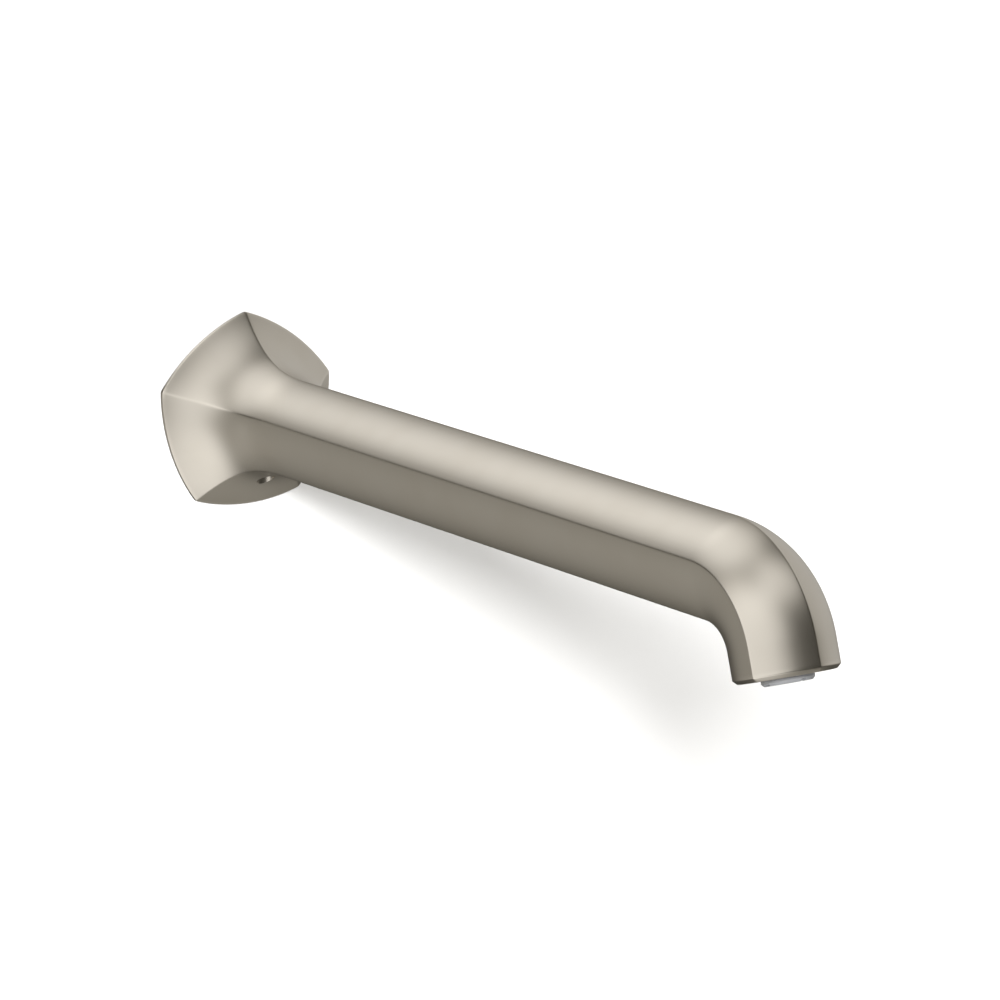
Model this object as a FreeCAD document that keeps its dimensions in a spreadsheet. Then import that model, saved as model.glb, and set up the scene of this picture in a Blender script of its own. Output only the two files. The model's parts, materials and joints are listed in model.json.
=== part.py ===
"""Wall-mounted bath spout: a five-sided cast spout on a slip-on wall adapter, with its waterway and aerator.

Frame: origin where the spout's axis meets the finished wall, +Z up, -Y out of the wall, +X to the right of
somebody facing the wall.  Millimetres and degrees.  Each piece is built on its own Z axis and then placed:
on the supply axis Z is the distance from the wall, on the outlet axis it is the height above the outlet.
"""

import FreeCAD
import Part
import Sketcher
import math
import os

from FreeCAD import Placement, Rotation, Vector

SIDES = 5
FLARE_STEPS = 8
JETS = 12
CORE_VANES = 6
KEY_SLOTS = 4
FEWEST_HOLES = 2  # in a ring of the strainer's holes
INNER_RING = 0.6  # inner ring of the strainer's holes, as a share of its flat top
AXIS_HALF = 10  # half of the drawn stretch of a bend's axis
PAST = 1  # how far a cutting outline runs past the piece
FLAT = 0.001  # how near to a plane a point counts as lying in it
SIZES = {
    # outside of the spout
    "flange_radius": (35.0, "corner radius of the five-sided flange"),
    "tube_radius": (17.1, "corner radius of the five-sided tube"),
    "side_bulge": (0.08, "rise of each bowed side over its chord"),
    "gasket_thick": (0.6, "foam gasket between wall and flange"),
    "gasket_width": (3.4, "how far the gasket reaches in from its corners"),
    "gasket_inset": (0.4, "how far the gasket stands back from the flange's corners"),
    "rim_thick": (1.3, "upright edge band of the flange"),
    "flare_length": (40.2, "length over which the flange narrows to the tube"),
    "flare_power": (3.0, "how quickly the flare narrows"),
    "straight_length": (278.5, "wall to the start of the bend"),
    "bend_radius": (25.2, "radius of the tube's centre line in the bend"),
    "bend_angle": (72.4, "angle the tube turns down through"),
    "end_length": (9.5, "straight stretch after the bend"),
    "end_chamfer": (1.3, "chamfer around the outlet face"),
    "shell_wall": (2.4, "casting wall at the middle of a side"),
    "flange_wall": (4.2, "casting wall at the flange's corners, measured across"),
    # wall adapter
    "thread_radius": (9.9, "1/2-14 NPT pitch radius, as a plain bore"),
    "thread_depth": (15.0, "depth of the supply thread"),
    "collar_radius": (13.5, "rear collar of the adapter"),
    "collar_length": (17.0, "wall to the collar's front face"),
    "spigot_radius": (10.0, "spigot that carries the seals"),
    "spigot_length": (24.5, "spigot in front of the collar"),
    "drive_flats": (12.0, "across flats of the hex the adapter is turned by"),
    "drive_depth": (9.0, "depth of that hex"),
    "adapter_bore": (5.8, "water bore behind the drive hex"),
    "lead_in": (0.8, "chamfer that guides a piece into its bore"),
    "slip_gap": (0.08, "radial gap of a slip-on fit"),
    "seal_gap": (0.03, "radial gap between a seal and what it seals against"),
    "seat_gap": (0.05, "gap of a piece that is put in its seat for good"),
    "seal_cord": (0.9, "radius of every O-ring's section"),
    "groove_play": (0.3, "spare width of an O-ring groove at each side"),
    "seal_first": (9.0, "collar's front face to the first spigot seal"),
    "seal_second": (17.0, "collar's front face to the second spigot seal"),
    # hub cast inside the flare
    "hub_start": (6.0, "wall to the hub's rear face"),
    "hub_wall": (2.6, "hub wall around the collar"),
    "hub_run": (3.0, "how far the round hub runs on past the socket's rear end"),
    "ring_thick": (1.2, "retaining ring"),
    "ring_depth": (0.9, "how deep the retaining ring sits in its groove"),
    "ring_band": (1.9, "width of the retaining ring's band"),
    "ring_gap": (1.6, "collar's front face to the retaining ring"),
    "ring_mouth": (7.0, "gap in the retaining ring"),
    # inlet socket
    "socket_wall": (2.05, "casting left outside the socket at the middle of a side"),
    "socket_end": (44.0, "wall to the shoulder that stops the socket"),
    "nose_radius": (10.9, "front nose of the socket"),
    "nose_length": (12.0, "length of that nose"),
    "shoulder_length": (5.5, "length of the hub's front shoulder"),
    "socket_play": (1.0, "spigot's end to the bottom of the socket"),
    # waterway
    "pipe_radius": (7.0, "outside of the copper waterway"),
    "pipe_wall": (1.0, "wall of the waterway"),
    "pipe_bend": (16.0, "bend radius of the waterway"),
    "pipe_grip": (10.0, "how far the waterway enters the socket"),
    "pipe_seal_first": (5.0, "waterway's rear end to its rear seal"),
    "pipe_seal_second": (2.8, "waterway's front end to its front seal"),
    "spacer_first": (112.0, "wall to the rear spacer"),
    "spacer_second": (218.0, "wall to the front spacer"),
    "spacer_length": (7.0, "length of a spacer"),
    "spacer_wall": (1.6, "ring wall of a spacer"),
    "spacer_rib": (2.2, "thickness of a spacer's ribs"),
    # outlet nozzle
    "nozzle_radius": (11.0, "outside of the nozzle"),
    "nozzle_lip": (12.2, "lip that shows in the outlet face"),
    "lip_thick": (1.2, "thickness of that lip"),
    "nozzle_height": (16.0, "height of the nozzle"),
    "neck_height": (10.6, "outlet face to the waterway's end"),
    "neck_radius": (10.3, "outside of the neck that holds the waterway"),
    "boss_radius": (14.5, "cast boss around the nozzle"),
    "boss_height": (12.0, "height of that boss"),
    "slot_width": (2.0, "spanner slots in the nozzle's lip"),
    "slot_depth": (0.8, "depth of those slots"),
    # aerator
    "cell_radius": (9.25, "bore that the aerator screws into"),
    "cell_height": (9.0, "outlet face to the washer's seat"),
    "thread_gap": (0.08, "radial gap of a plain stand-in for a thread"),
    "washer_thick": (1.4, "aerator washer"),
    "washer_band": (2.85, "width of that washer"),
    "snout_step": (1.2, "the cell's bore to the aerator's collar below the outlet face"),
    "snout_bevel": (0.8, "bevel of that collar"),
    "snout_drop": (1.9, "how far the collar stands below the outlet face"),
    "shell_inset": (0.4, "outlet face to the thread's lower end"),
    "aerator_wall": (2.35, "the cell's bore to the aerator shell's own bore"),
    "mouth_lip": (1.1, "width of the lip that holds the insert up"),
    "mouth_thick": (0.9, "thickness of that lip"),
    "key_slot": (1.6, "key slots in the aerator's collar"),
    "key_depth": (0.7, "depth of those slots"),
    "comb_thick": (2.6, "honeycomb straightener"),
    "comb_pitch": (1.9, "cell pitch of the honeycomb"),
    "comb_wall": (0.3, "wall between honeycomb cells"),
    "mesh_thick": (0.5, "outlet mesh"),
    "mesh_pitch": (1.2, "pitch of the outlet mesh"),
    "mesh_bar": (0.35, "bar width of the outlet mesh"),
    "edge_band": (0.7, "plain edge of the honeycomb and of the mesh"),
    "core_wall": (1.1, "wall of the mixing core"),
    "core_height": (2.7, "height of the mixing core"),
    "core_post": (1.3, "post in the middle of the mixing core"),
    "core_vane": (0.7, "thickness of the mixing core's vanes"),
    "plate_thick": (1.1, "jet plate"),
    "jet_radius": (0.55, "jet holes"),
    "jet_inset": (2.5, "the plate's edge to the circle of the jet holes"),
    "strainer_rim": (1.6, "width of the inlet strainer's rim"),
    "strainer_slope": (2.7, "how far the strainer's hood leans in"),
    "strainer_height": (2.0, "height of that hood"),
    "strainer_wall": (0.4, "wall of the inlet strainer"),
    "strainer_hole": (0.45, "holes of the inlet strainer"),
    "strainer_pitch": (1.75, "spacing of those holes along their ring"),
    # set screw
    "screw_place": (13.7, "wall to the set screw"),
    "screw_radius": (3.0, "M6 set screw"),
    "screw_length": (5.0, "length of the set screw"),
    "screw_drive": (3.0, "hex key across flats"),
    "screw_socket": (2.4, "depth of the hex socket"),
    "screw_boss": (10.4, "width of the cast boss around the set screw"),
    "pad_radius": (2.2, "swivel pad"),
    "pad_thick": (0.9, "thickness of the swivel pad"),
    "pad_stem": (1.1, "radius of the swivel pad's stem"),
    "stem_length": (1.5, "length of that stem"),
}

doc = FreeCAD.newDocument("bath_spout")


def make_sheet():
    """Puts every driving size in the sheet, one row each, with its alias and its meaning."""
    sheet = doc.addObject("Spreadsheet::Sheet", "Sizes")
    for row, (name, (value, meaning)) in enumerate(SIZES.items(), start=1):
        sheet.set(f"A{row}", name)
        sheet.set(f"B{row}", str(value))
        sheet.set(f"C{row}", meaning)
        sheet.setAlias(f"B{row}", name)
    doc.recompute()
    return sheet


sheet = make_sheet()


def bound(text):
    """An expression with every size's name pointed at the sheet."""
    out, word = [], ""
    for letter in text + " ":
        if letter.isalnum() or letter == "_":
            word += letter
            continue
        out.append(f"Sizes.{word}" if word in SIZES else word)
        word = ""
        out.append(letter)
    return "".join(out).strip()


def value(text):
    """The number that an expression has now."""
    found = sheet.evalExpression(bound(text))
    return float(getattr(found, "Value", found))


# Lengths that several pieces share, as expressions on the sheet's sizes.
MID = "(cos(36deg) + 2 * sin(36deg) * side_bulge)"
TURN = "(bend_angle * 1deg)"
RIM = "(gasket_thick + rim_thick)"
FLARE_END = f"({RIM} + flare_length)"
CAVITY = f"(tube_radius - shell_wall / {MID})"
COLLAR_BORE = "(collar_radius + slip_gap)"
HUB = f"({COLLAR_BORE} + hub_wall)"
RING_START = "(collar_length + ring_gap)"
RING_GROOVE = f"({COLLAR_BORE} + ring_depth)"
SOCKET_START = f"({RING_START} + ring_thick)"
SOCKET_BORE = f"(tube_radius * {MID} - socket_wall)"
SPIGOT_BORE = "(spigot_radius + slip_gap)"
SPIGOT_END = "(collar_length + spigot_length)"
SOCKET_BOTTOM = f"({SPIGOT_END} + socket_play)"
NOSE_END = "(socket_end + nose_length)"
PIPE_START = f"({NOSE_END} - pipe_grip)"
PIPE_SEAT = "(pipe_radius + seat_gap)"
PIPE_BORE = "(pipe_radius - pipe_wall)"
PIPE_SEAL = "(pipe_radius + seal_gap + seal_cord)"
PIPE_GROOVE = f"({PIPE_SEAL} + seal_cord + seal_gap)"
REAR_SEAL = f"({PIPE_START} + pipe_seal_first)"
FRONT_SEAL = "(neck_height + pipe_seal_second)"
SPIGOT_SEAL = f"({SPIGOT_BORE} - seal_gap - seal_cord)"
SPIGOT_GROOVE = f"({SPIGOT_SEAL} - seal_cord - seal_gap)"
HALF_GROOVE = "(seal_cord + groove_play)"
CORNER = f"(straight_length + bend_radius * tan({TURN} / 2))"
DROP_CORNER = f"(bend_radius * tan({TURN} / 2) + end_length)"
PIPE_TURN = f"(pipe_bend * tan({TURN} / 2))"
OUTLET_OUT = f"(straight_length + bend_radius * sin({TURN}) + end_length * cos({TURN}))"
OUTLET_DOWN = f"(bend_radius * (1 - cos({TURN})) + end_length * sin({TURN}))"
SHELL_TOP = "(cell_height - washer_thick)"
MOUTH_TOP = "(mouth_thick - snout_drop)"
COMB_TOP = f"({MOUTH_TOP} + comb_thick)"
MESH_TOP = f"({COMB_TOP} + mesh_thick)"
CORE_TOP = f"({MESH_TOP} + core_height)"
PLATE_TOP = f"({CORE_TOP} + plate_thick)"
SNOUT = "(cell_radius - snout_step)"
SHELL_BORE = "(cell_radius - aerator_wall)"
MOUTH = f"({SHELL_BORE} - mouth_lip)"
INSERT = f"({SHELL_BORE} - seat_gap)"
HOOD = f"({SHELL_BORE} - strainer_rim)"
HOOD_TOP = f"({HOOD} - strainer_slope)"
PAD_START = "(collar_radius + seal_gap)"
SCREW_START = f"({PAD_START} + pad_thick)"


def flare_share(height):
    """How far the flare still stands out of the tube at a distance from the wall, from 1 to 0."""
    return f"(1 - ({height} - {RIM}) / flare_length) ^ flare_power"


def outer_radius(height):
    """Corner radius of the outside at a distance from the wall."""
    return f"(tube_radius + (flange_radius - tube_radius) * {flare_share(height)})"


def inner_radius(height):
    """Corner radius of the casting's hollow at a distance from the wall."""
    return f"({CAVITY} + (flange_radius - flange_wall - {CAVITY}) * {flare_share(height)})"


def new_body(label):
    """An empty PartDesign body under its own label."""
    body = doc.addObject("PartDesign::Body", label)
    body.Label = label
    return body


def new_sketch(body, name, role="XY_Plane", height="0"):
    """A sketch on one of the body's origin planes, raised off it by an expression."""
    sketch = body.newObject("Sketcher::SketchObject", name)
    base = [item for item in body.Origin.OriginFeatures if item.Role == role][0]
    sketch.AttachmentSupport = (base, [""])
    sketch.MapMode = "FlatFace"
    sketch.setExpression("AttachmentOffset.Base.z", bound(height))
    return sketch


def tie(sketch, geometry, point, x, y):
    """Holds a sketch point at two expressions, measured from the sketch's origin."""
    for axis, text in (("X", x), ("Y", y)):
        number = value(text)
        if text == "0":
            line = -2 if axis == "X" else -1
            sketch.addConstraint(Sketcher.Constraint("PointOnObject", geometry, point, line))
            continue
        away = Sketcher.Constraint("Distance" + axis, -1, 1, geometry, point, number)
        index = sketch.addConstraint(away)
        sketch.setExpression(f"Constraints[{index}]", bound(text))


def draw_outline(sketch, points):
    """A closed outline of straight lines whose corners are pairs of expressions."""
    corners = [Vector(value(x), value(y), 0) for x, y in points]
    first = sketch.GeometryCount
    count = len(points)
    for i in range(count):
        sketch.addGeometry(Part.LineSegment(corners[i], corners[(i + 1) % count]), False)
    for i in range(count):
        sketch.addConstraint(Sketcher.Constraint("Coincident", first + i, 2, first + (i + 1) % count, 1))
        tie(sketch, first + i, 1, *points[i])


def draw_circle(sketch, radius, x="0", y="0"):
    """A circle whose radius and centre are expressions."""
    centre = Vector(value(x), value(y), 0)
    index = sketch.addGeometry(Part.Circle(centre, Vector(0, 0, 1), value(radius)), False)
    if x == "0" and y == "0":
        sketch.addConstraint(Sketcher.Constraint("Coincident", index, 3, -1, 1))
    else:
        tie(sketch, index, 3, x, y)
    row = sketch.addConstraint(Sketcher.Constraint("Radius", index, value(radius)))
    sketch.setExpression(f"Constraints[{row}]", bound(radius))


def draw_section(sketch, radius):
    """The five-sided section with bowed sides, one corner up, inside a circle of the given radius."""
    half = math.pi / SIDES
    size, bulge = value(radius), value("side_bulge")
    bow = size * 2 * math.sin(half) * (0.25 + bulge**2) / (2 * bulge)
    back = bow - size * (math.cos(half) + 2 * math.sin(half) * bulge)
    first = sketch.GeometryCount
    for i in range(SIDES):
        middle = math.pi / 2 + (2 * i + 1) * half
        centre = Vector(-back * math.cos(middle), -back * math.sin(middle), 0)
        reach = math.asin(size * math.sin(half) / bow)
        circle = Part.Circle(centre, Vector(0, 0, 1), bow)
        sketch.addGeometry(Part.ArcOfCircle(circle, middle - reach, middle + reach), False)
    for i in range(SIDES):
        angle = f"{90 + 360 // SIDES * i}deg"
        sketch.addConstraint(Sketcher.Constraint("Coincident", first + i, 2, first + (i + 1) % SIDES, 1))
        across = "0" if i == 0 else f"{radius} * cos({angle})"
        tie(sketch, first + i, 1, across, f"{radius} * sin({angle})")
        row = sketch.addConstraint(Sketcher.Constraint("Radius", first + i, bow))
        sketch.setExpression(
            f"Constraints[{row}]", bound(f"{radius} * sin(36deg) * (0.25 + side_bulge ^ 2) / side_bulge")
        )


def placed(piece, out="0", down="0", tilt=None):
    """Lays a piece's Z axis along the supply axis, or along the outlet axis when a tilt is given."""
    if tilt is None:
        piece.Placement = Placement(Vector(), Rotation(Vector(1, 0, 0), 90))
    else:
        piece.Placement = Placement(Vector(), Rotation(Vector(-1, 0, 0), value(tilt)))
        piece.setExpression("Placement.Rotation.Angle", bound(f"({tilt}) * 1deg"))
    piece.setExpression("Placement.Base.y", bound(f"-{out} * 1mm"))
    piece.setExpression("Placement.Base.z", bound(f"-{down} * 1mm"))
    return piece


def on_supply(piece, out="0"):
    """Lays a piece along the supply axis, a distance from the wall."""
    return placed(piece, out)


def on_outlet(piece):
    """Lays a piece along the outlet axis, with its origin in the outlet face."""
    return placed(piece, OUTLET_OUT, OUTLET_DOWN, "90 - bend_angle")


def tilt_sketch(sketch, axis, angle, y, z):
    """Turns and moves a sketch away from its plane: a fixed axis, and three expressions."""
    sketch.AttachmentOffset = Placement(Vector(), Rotation(axis, value(angle)))
    sketch.setExpression("AttachmentOffset.Rotation.Angle", bound(f"({angle}) * 1deg"))
    sketch.setExpression("AttachmentOffset.Base.y", bound(y))
    sketch.setExpression("AttachmentOffset.Base.z", bound(z))


def outlet_profile(body, name):
    """A sketch whose V axis is the outlet axis, upwards from the outlet face."""
    sketch = new_sketch(body, name, "XZ_Plane")
    tilt_sketch(sketch, Vector(-1, 0, 0), "180 - bend_angle", OUTLET_OUT, OUTLET_DOWN)
    return sketch


def add_feature(body, kind, name, sketch, **settings):
    """A PartDesign feature on a sketch; text settings are expressions, the others plain values."""
    feature = body.newObject("PartDesign::" + kind, name)
    feature.Profile = sketch
    for key, setting in settings.items():
        if isinstance(setting, str):
            feature.setExpression(key, bound(setting))
        else:
            setattr(feature, key, setting)
    doc.recompute()
    return feature


def pad(body, name, sketch, length, reverse=False):
    """Adds material off a sketch."""
    return add_feature(body, "Pad", name, sketch, Length=length, Reversed=reverse)


def pocket(body, name, sketch, length, reverse=False):
    """Cuts into the body behind a sketch, and makes sure that something was cut."""
    before = body.Shape.Volume
    feature = add_feature(body, "Pocket", name, sketch, Length=length, Reversed=reverse)
    if body.Shape.Volume >= before:
        raise RuntimeError(f"{body.Label}: {name} cuts nothing")
    return feature


def turn(body, kind, name, sketch, angle="360", reverse=False, axis="V_Axis"):
    """A Revolution or Groove about one of the sketch's axes."""
    before = body.Shape.Volume if kind == "Groove" else 0
    feature = add_feature(body, kind, name, sketch, ReferenceAxis=(sketch, [axis]), Reversed=reverse)
    feature.setExpression("Angle", bound(f"{angle} * 1deg"))
    doc.recompute()
    if kind == "Groove" and body.Shape.Volume >= before:
        raise RuntimeError(f"{body.Label}: {name} cuts nothing")
    return feature


def repeat(body, feature, name, count):
    """The last feature, repeated around the body's Z axis."""
    pattern = body.newObject("PartDesign::PolarPattern", name)
    pattern.Originals = [feature]
    pattern.Axis = ([item for item in body.Origin.OriginFeatures if item.Role == "Z_Axis"][0], [""])
    pattern.Angle = 360
    pattern.Occurrences = count
    body.Tip = pattern
    doc.recompute()
    return pattern


def turned_body(label, outline):
    """A body turned from an outline of radius and height pairs."""
    body = new_body(label)
    sketch = new_sketch(body, label + "_profile", "XZ_Plane")
    draw_outline(sketch, outline)
    turn(body, "Revolution", label + "_turned", sketch)
    return body


def loft(body, kind, name, sections):
    """A smooth AdditiveLoft or SubtractiveLoft through section sketches."""
    feature = body.newObject("PartDesign::" + kind, name)
    feature.Profile = sections[0]
    feature.Sections = sections[1:]
    feature.Ruled = False
    doc.recompute()
    return feature


def section_sketch(body, name, height, radius, inner=None):
    """The five-sided section at a distance from the wall, with a smaller one inside it if asked."""
    sketch = new_sketch(body, name, height=height)
    draw_section(sketch, radius)
    if inner:
        draw_section(sketch, inner)
    return sketch


def bend_axis(sketch, radius):
    """The construction line that a section bends about, as the sketch's own axis."""
    low = -value(radius)
    line = Part.LineSegment(Vector(-AXIS_HALF, low, 0), Vector(AXIS_HALF, low, 0))
    index = sketch.addGeometry(line, True)
    tie(sketch, index, 1, f"-{AXIS_HALF}", f"-{radius}")
    tie(sketch, index, 2, f"{AXIS_HALF}", f"-{radius}")


def spout_body():
    """The cast spout: flange, flare, tube, bend and outlet, hollow, with its hub and outlet boss."""
    body = new_body("spout_body")
    rim = section_sketch(body, "rim_section", "gasket_thick", "flange_radius")
    pad(body, "rim", rim, "rim_thick")
    steps = [f"({RIM} + flare_length * {step} / {FLARE_STEPS})" for step in range(FLARE_STEPS + 1)]
    outer = [section_sketch(body, f"flare_{i}", at, outer_radius(at)) for i, at in enumerate(steps)]
    loft(body, "AdditiveLoft", "flare", outer)
    hollow = [section_sketch(body, "hollow_rear", "gasket_thick", inner_radius(RIM))]
    hollow += [section_sketch(body, f"hollow_{i}", at, inner_radius(at)) for i, at in enumerate(steps) if i]
    loft(body, "SubtractiveLoft", "flare_hollow", hollow)

    tube = section_sketch(body, "tube_section", FLARE_END, "tube_radius", CAVITY)
    pad(body, "tube", tube, f"straight_length - {FLARE_END}")
    bend = section_sketch(body, "bend_section", "straight_length", "tube_radius", CAVITY)
    bend_axis(bend, "bend_radius")
    turn(body, "Revolution", "bend", bend, "bend_angle", axis="Axis0")
    end = section_sketch(body, "end_section", "0", "tube_radius", CAVITY)
    tilt_sketch(
        end,
        Vector(1, 0, 0),
        "bend_angle",
        f"-bend_radius * (1 - cos({TURN}))",
        f"straight_length + bend_radius * sin({TURN})",
    )
    pad(body, "outlet_end", end, "end_length")
    chamfer_outlet(body)
    add_hub(body)
    add_outlet_boss(body)
    return on_supply(body)


def chamfer_outlet(body):
    """The chamfer around the outer edge of the outlet face."""
    middle = Vector(0, -value(OUTLET_DOWN), value(OUTLET_OUT))
    angle = math.radians(value("bend_angle"))
    downstream = Vector(0, -math.sin(angle), math.cos(angle))

    def in_face(edge):
        """Whether an edge lies in the outlet face, on the outer outline."""
        points = [edge.valueAt(edge.FirstParameter), edge.valueAt(edge.LastParameter)]
        level = all(abs((point - middle).dot(downstream)) < FLAT for point in points)
        return level and min((point - middle).Length for point in points) > value(CAVITY) + FLAT

    names = [f"Edge{i}" for i, edge in enumerate(body.Shape.Edges, start=1) if in_face(edge)]
    last = body.Tip
    chamfer = body.newObject("PartDesign::Chamfer", "outlet_chamfer")
    chamfer.Base = (last, names)
    chamfer.setExpression("Size", bound("end_chamfer"))
    doc.recompute()


def add_hub(body):
    """The hub in the flare that takes the adapter's collar, the socket, its ring and the set screw."""
    hub = new_sketch(body, "hub_circle", height="hub_start")
    draw_circle(hub, HUB)
    pad(body, "hub", hub, f"{SOCKET_START} + hub_run - hub_start")
    plug = section_sketch(body, "plug_section", SOCKET_START, "(tube_radius - shell_wall / 2)")
    pad(body, "plug", plug, f"socket_end + shoulder_length - {SOCKET_START}")

    middle = f"(hub_wall / 2 + {COLLAR_BORE})"
    near, far = "(screw_place - screw_boss / 2)", "(screw_place + screw_boss / 2)"
    boss = new_sketch(body, "screw_boss_side", "YZ_Plane", "-screw_boss / 2")
    outline = [(f"-{middle}", near), (f"-{middle}", far)]
    outline += [(f"-{MID} * ({outer_radius(at)} + {inner_radius(at)}) / 2", at) for at in (far, near)]
    draw_outline(boss, outline)
    pad(body, "screw_boss", boss, "screw_boss")

    bores = new_sketch(body, "hub_bores", "XZ_Plane")
    shoulder = "(socket_end + shoulder_length)"
    nose = "(nose_radius + seat_gap)"
    draw_outline(
        bores,
        [
            ("0", "hub_start"),
            (COLLAR_BORE, "hub_start"),
            (COLLAR_BORE, RING_START),
            (RING_GROOVE, RING_START),
            (RING_GROOVE, SOCKET_START),
            (SOCKET_BORE, SOCKET_START),
            (SOCKET_BORE, "socket_end"),
            (nose, "socket_end"),
            (nose, shoulder),
            ("0", shoulder),
        ],
    )
    turn(body, "Groove", "hub_bore", bores)
    hole = new_sketch(body, "screw_hole_circle", "XZ_Plane", "collar_radius - lead_in")
    draw_circle(hole, "screw_radius + thread_gap", "0", "screw_place")
    pocket(body, "screw_hole", hole, "flange_radius", reverse=True)


def add_outlet_boss(body):
    """The solid boss at the outlet and the bore that the nozzle screws into."""
    boss = outlet_profile(body, "outlet_boss_side")
    edge = [("boss_radius", "end_chamfer"), ("boss_radius", "boss_height")]
    draw_outline(boss, [("0", "0")] + edge + [("0", "boss_height")])
    turn(body, "Revolution", "outlet_boss", boss)
    bore = outlet_profile(body, "outlet_bore_side")
    lip, thread = "(nozzle_lip + seat_gap)", "(nozzle_radius + seat_gap)"
    draw_outline(
        bore,
        [
            ("0", "0"),
            (lip, "0"),
            (lip, "lip_thick"),
            (thread, "lip_thick"),
            (thread, "boss_height"),
            ("0", "boss_height"),
        ],
    )
    turn(body, "Groove", "outlet_bore", bore)


def wall_gasket():
    """The foam gasket between the flange and the wall."""
    body = new_body("wall_gasket")
    outer = "(flange_radius - gasket_inset)"
    ring = section_sketch(body, "gasket_section", "0", outer, f"({outer} - gasket_width)")
    pad(body, "gasket", ring, "gasket_thick")
    return on_supply(body)


def groove_outline(radius, bottom, centre):
    """The four corners of an O-ring groove, upwards along an outline."""
    return [
        (radius, f"({centre} - {HALF_GROOVE})"),
        (bottom, f"({centre} - {HALF_GROOVE})"),
        (bottom, f"({centre} + {HALF_GROOVE})"),
        (radius, f"({centre} + {HALF_GROOVE})"),
    ]


def wall_adapter():
    """The brass adapter that screws onto the supply nipple and carries the two seals."""
    outline = [("thread_radius", "0"), ("collar_radius", "0"), ("collar_radius", "collar_length")]
    outline += [("spigot_radius", "collar_length")]
    for seal in ("seal_first", "seal_second"):
        outline += groove_outline("spigot_radius", SPIGOT_GROOVE, f"(collar_length + {seal})")
    outline += [("spigot_radius", f"{SPIGOT_END} - lead_in"), ("spigot_radius - lead_in", SPIGOT_END)]
    outline += [("adapter_bore", SPIGOT_END), ("adapter_bore", "thread_depth")]
    outline += [("thread_radius", "thread_depth")]
    body = turned_body("wall_adapter", outline)
    drive = new_sketch(body, "drive_hex", height=SPIGOT_END)
    draw_hexagon(drive, "drive_flats / 2")
    pocket(body, "drive_socket", drive, "drive_depth")
    return on_supply(body)


def draw_hexagon(sketch, apothem):
    """A hexagon round the sketch's origin, given by half its width across flats."""
    corner = f"({apothem} / cos(30deg))"
    turns = range(0, 360, 60)
    draw_outline(sketch, [(f"{corner} * cos({a}deg)", f"{corner} * sin({a}deg)") for a in turns])


def o_ring(label, radius, centre, place):
    """An O-ring round one of the two axes."""
    body = new_body(label)
    sketch = new_sketch(body, label + "_cord", "XZ_Plane")
    draw_circle(sketch, "seal_cord", radius, centre)
    turn(body, "Revolution", label + "_ring", sketch)
    return place(body)


def inlet_socket():
    """The brass socket that slides over the adapter's spigot and holds the waterway's rear end."""
    outer = f"({SOCKET_BORE} - seat_gap)"
    outline = [
        (f"({SPIGOT_BORE} + lead_in)", SOCKET_START),
        (outer, SOCKET_START),
        (outer, "socket_end"),
        ("nose_radius", "socket_end"),
        ("nose_radius", NOSE_END),
        (PIPE_SEAT, NOSE_END),
    ]
    outline += reversed(groove_outline(PIPE_SEAT, PIPE_GROOVE, REAR_SEAL))
    outline += [
        (PIPE_SEAT, PIPE_START),
        (PIPE_BORE, PIPE_START),
        (PIPE_BORE, SOCKET_BOTTOM),
        (SPIGOT_BORE, SOCKET_BOTTOM),
        (SPIGOT_BORE, f"({SOCKET_START} + lead_in)"),
    ]
    return on_supply(turned_body("inlet_socket", outline))


def retaining_ring():
    """The open spring ring that keeps the socket in the hub."""
    body = new_body("retaining_ring")
    outer = f"({RING_GROOVE} - seat_gap)"
    band = new_sketch(body, "ring_band_circles", height=RING_START)
    draw_circle(band, outer)
    draw_circle(band, f"({outer} - ring_band)")
    pad(body, "ring", band, "ring_thick")
    mouth = new_sketch(body, "ring_mouth_sides", height=SOCKET_START)
    left, right = "-ring_mouth / 2", "ring_mouth / 2"
    draw_outline(mouth, [(left, "spigot_radius"), (right, "spigot_radius"), (right, HUB), (left, HUB)])
    pocket(body, "ring_opening", mouth, "ring_thick")
    return on_supply(body)


def waterway_tube():
    """The copper waterway: a straight run, a bend inside the casting's bend, and a short drop."""
    body = new_body("waterway_tube")
    bend_start = f"({CORNER} - {PIPE_TURN})"
    run = new_sketch(body, "pipe_section", height=PIPE_START)
    bend = new_sketch(body, "pipe_bend_section", height=bend_start)
    end = new_sketch(body, "pipe_end_section")
    for sketch in (run, bend, end):
        draw_circle(sketch, "pipe_radius")
        draw_circle(sketch, PIPE_BORE)
    pad(body, "pipe_run", run, f"{bend_start} - {PIPE_START}")
    bend_axis(bend, "pipe_bend")
    turn(body, "Revolution", "pipe_bend_turn", bend, "bend_angle", axis="Axis0")
    tilt_sketch(
        end,
        Vector(1, 0, 0),
        "bend_angle",
        f"-{PIPE_TURN} * sin({TURN})",
        f"{CORNER} + {PIPE_TURN} * cos({TURN})",
    )
    pad(body, "pipe_drop", end, f"{DROP_CORNER} - {PIPE_TURN} - neck_height")
    return on_supply(body)


def tube_spacer(label, start):
    """A plastic ring with five ribs that centres the waterway in the casting."""
    body = new_body(label)
    ring = new_sketch(body, label + "_circles", height=start)
    draw_circle(ring, f"({PIPE_SEAT} + spacer_wall)")
    draw_circle(ring, PIPE_SEAT)
    pad(body, label + "_ring", ring, "spacer_length")
    rib = new_sketch(body, label + "_rib_sides", height=start)
    left, right = "-spacer_rib / 2", "spacer_rib / 2"
    foot, tip = f"-({PIPE_SEAT} + spacer_wall / 2)", f"-({CAVITY} * {MID} - seat_gap * 2)"
    draw_outline(rib, [(left, foot), (right, foot), (right, tip), (left, tip)])
    first = pad(body, label + "_rib", rib, "spacer_length")
    repeat(body, first, label + "_ribs", SIDES)
    return on_supply(body)


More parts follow.
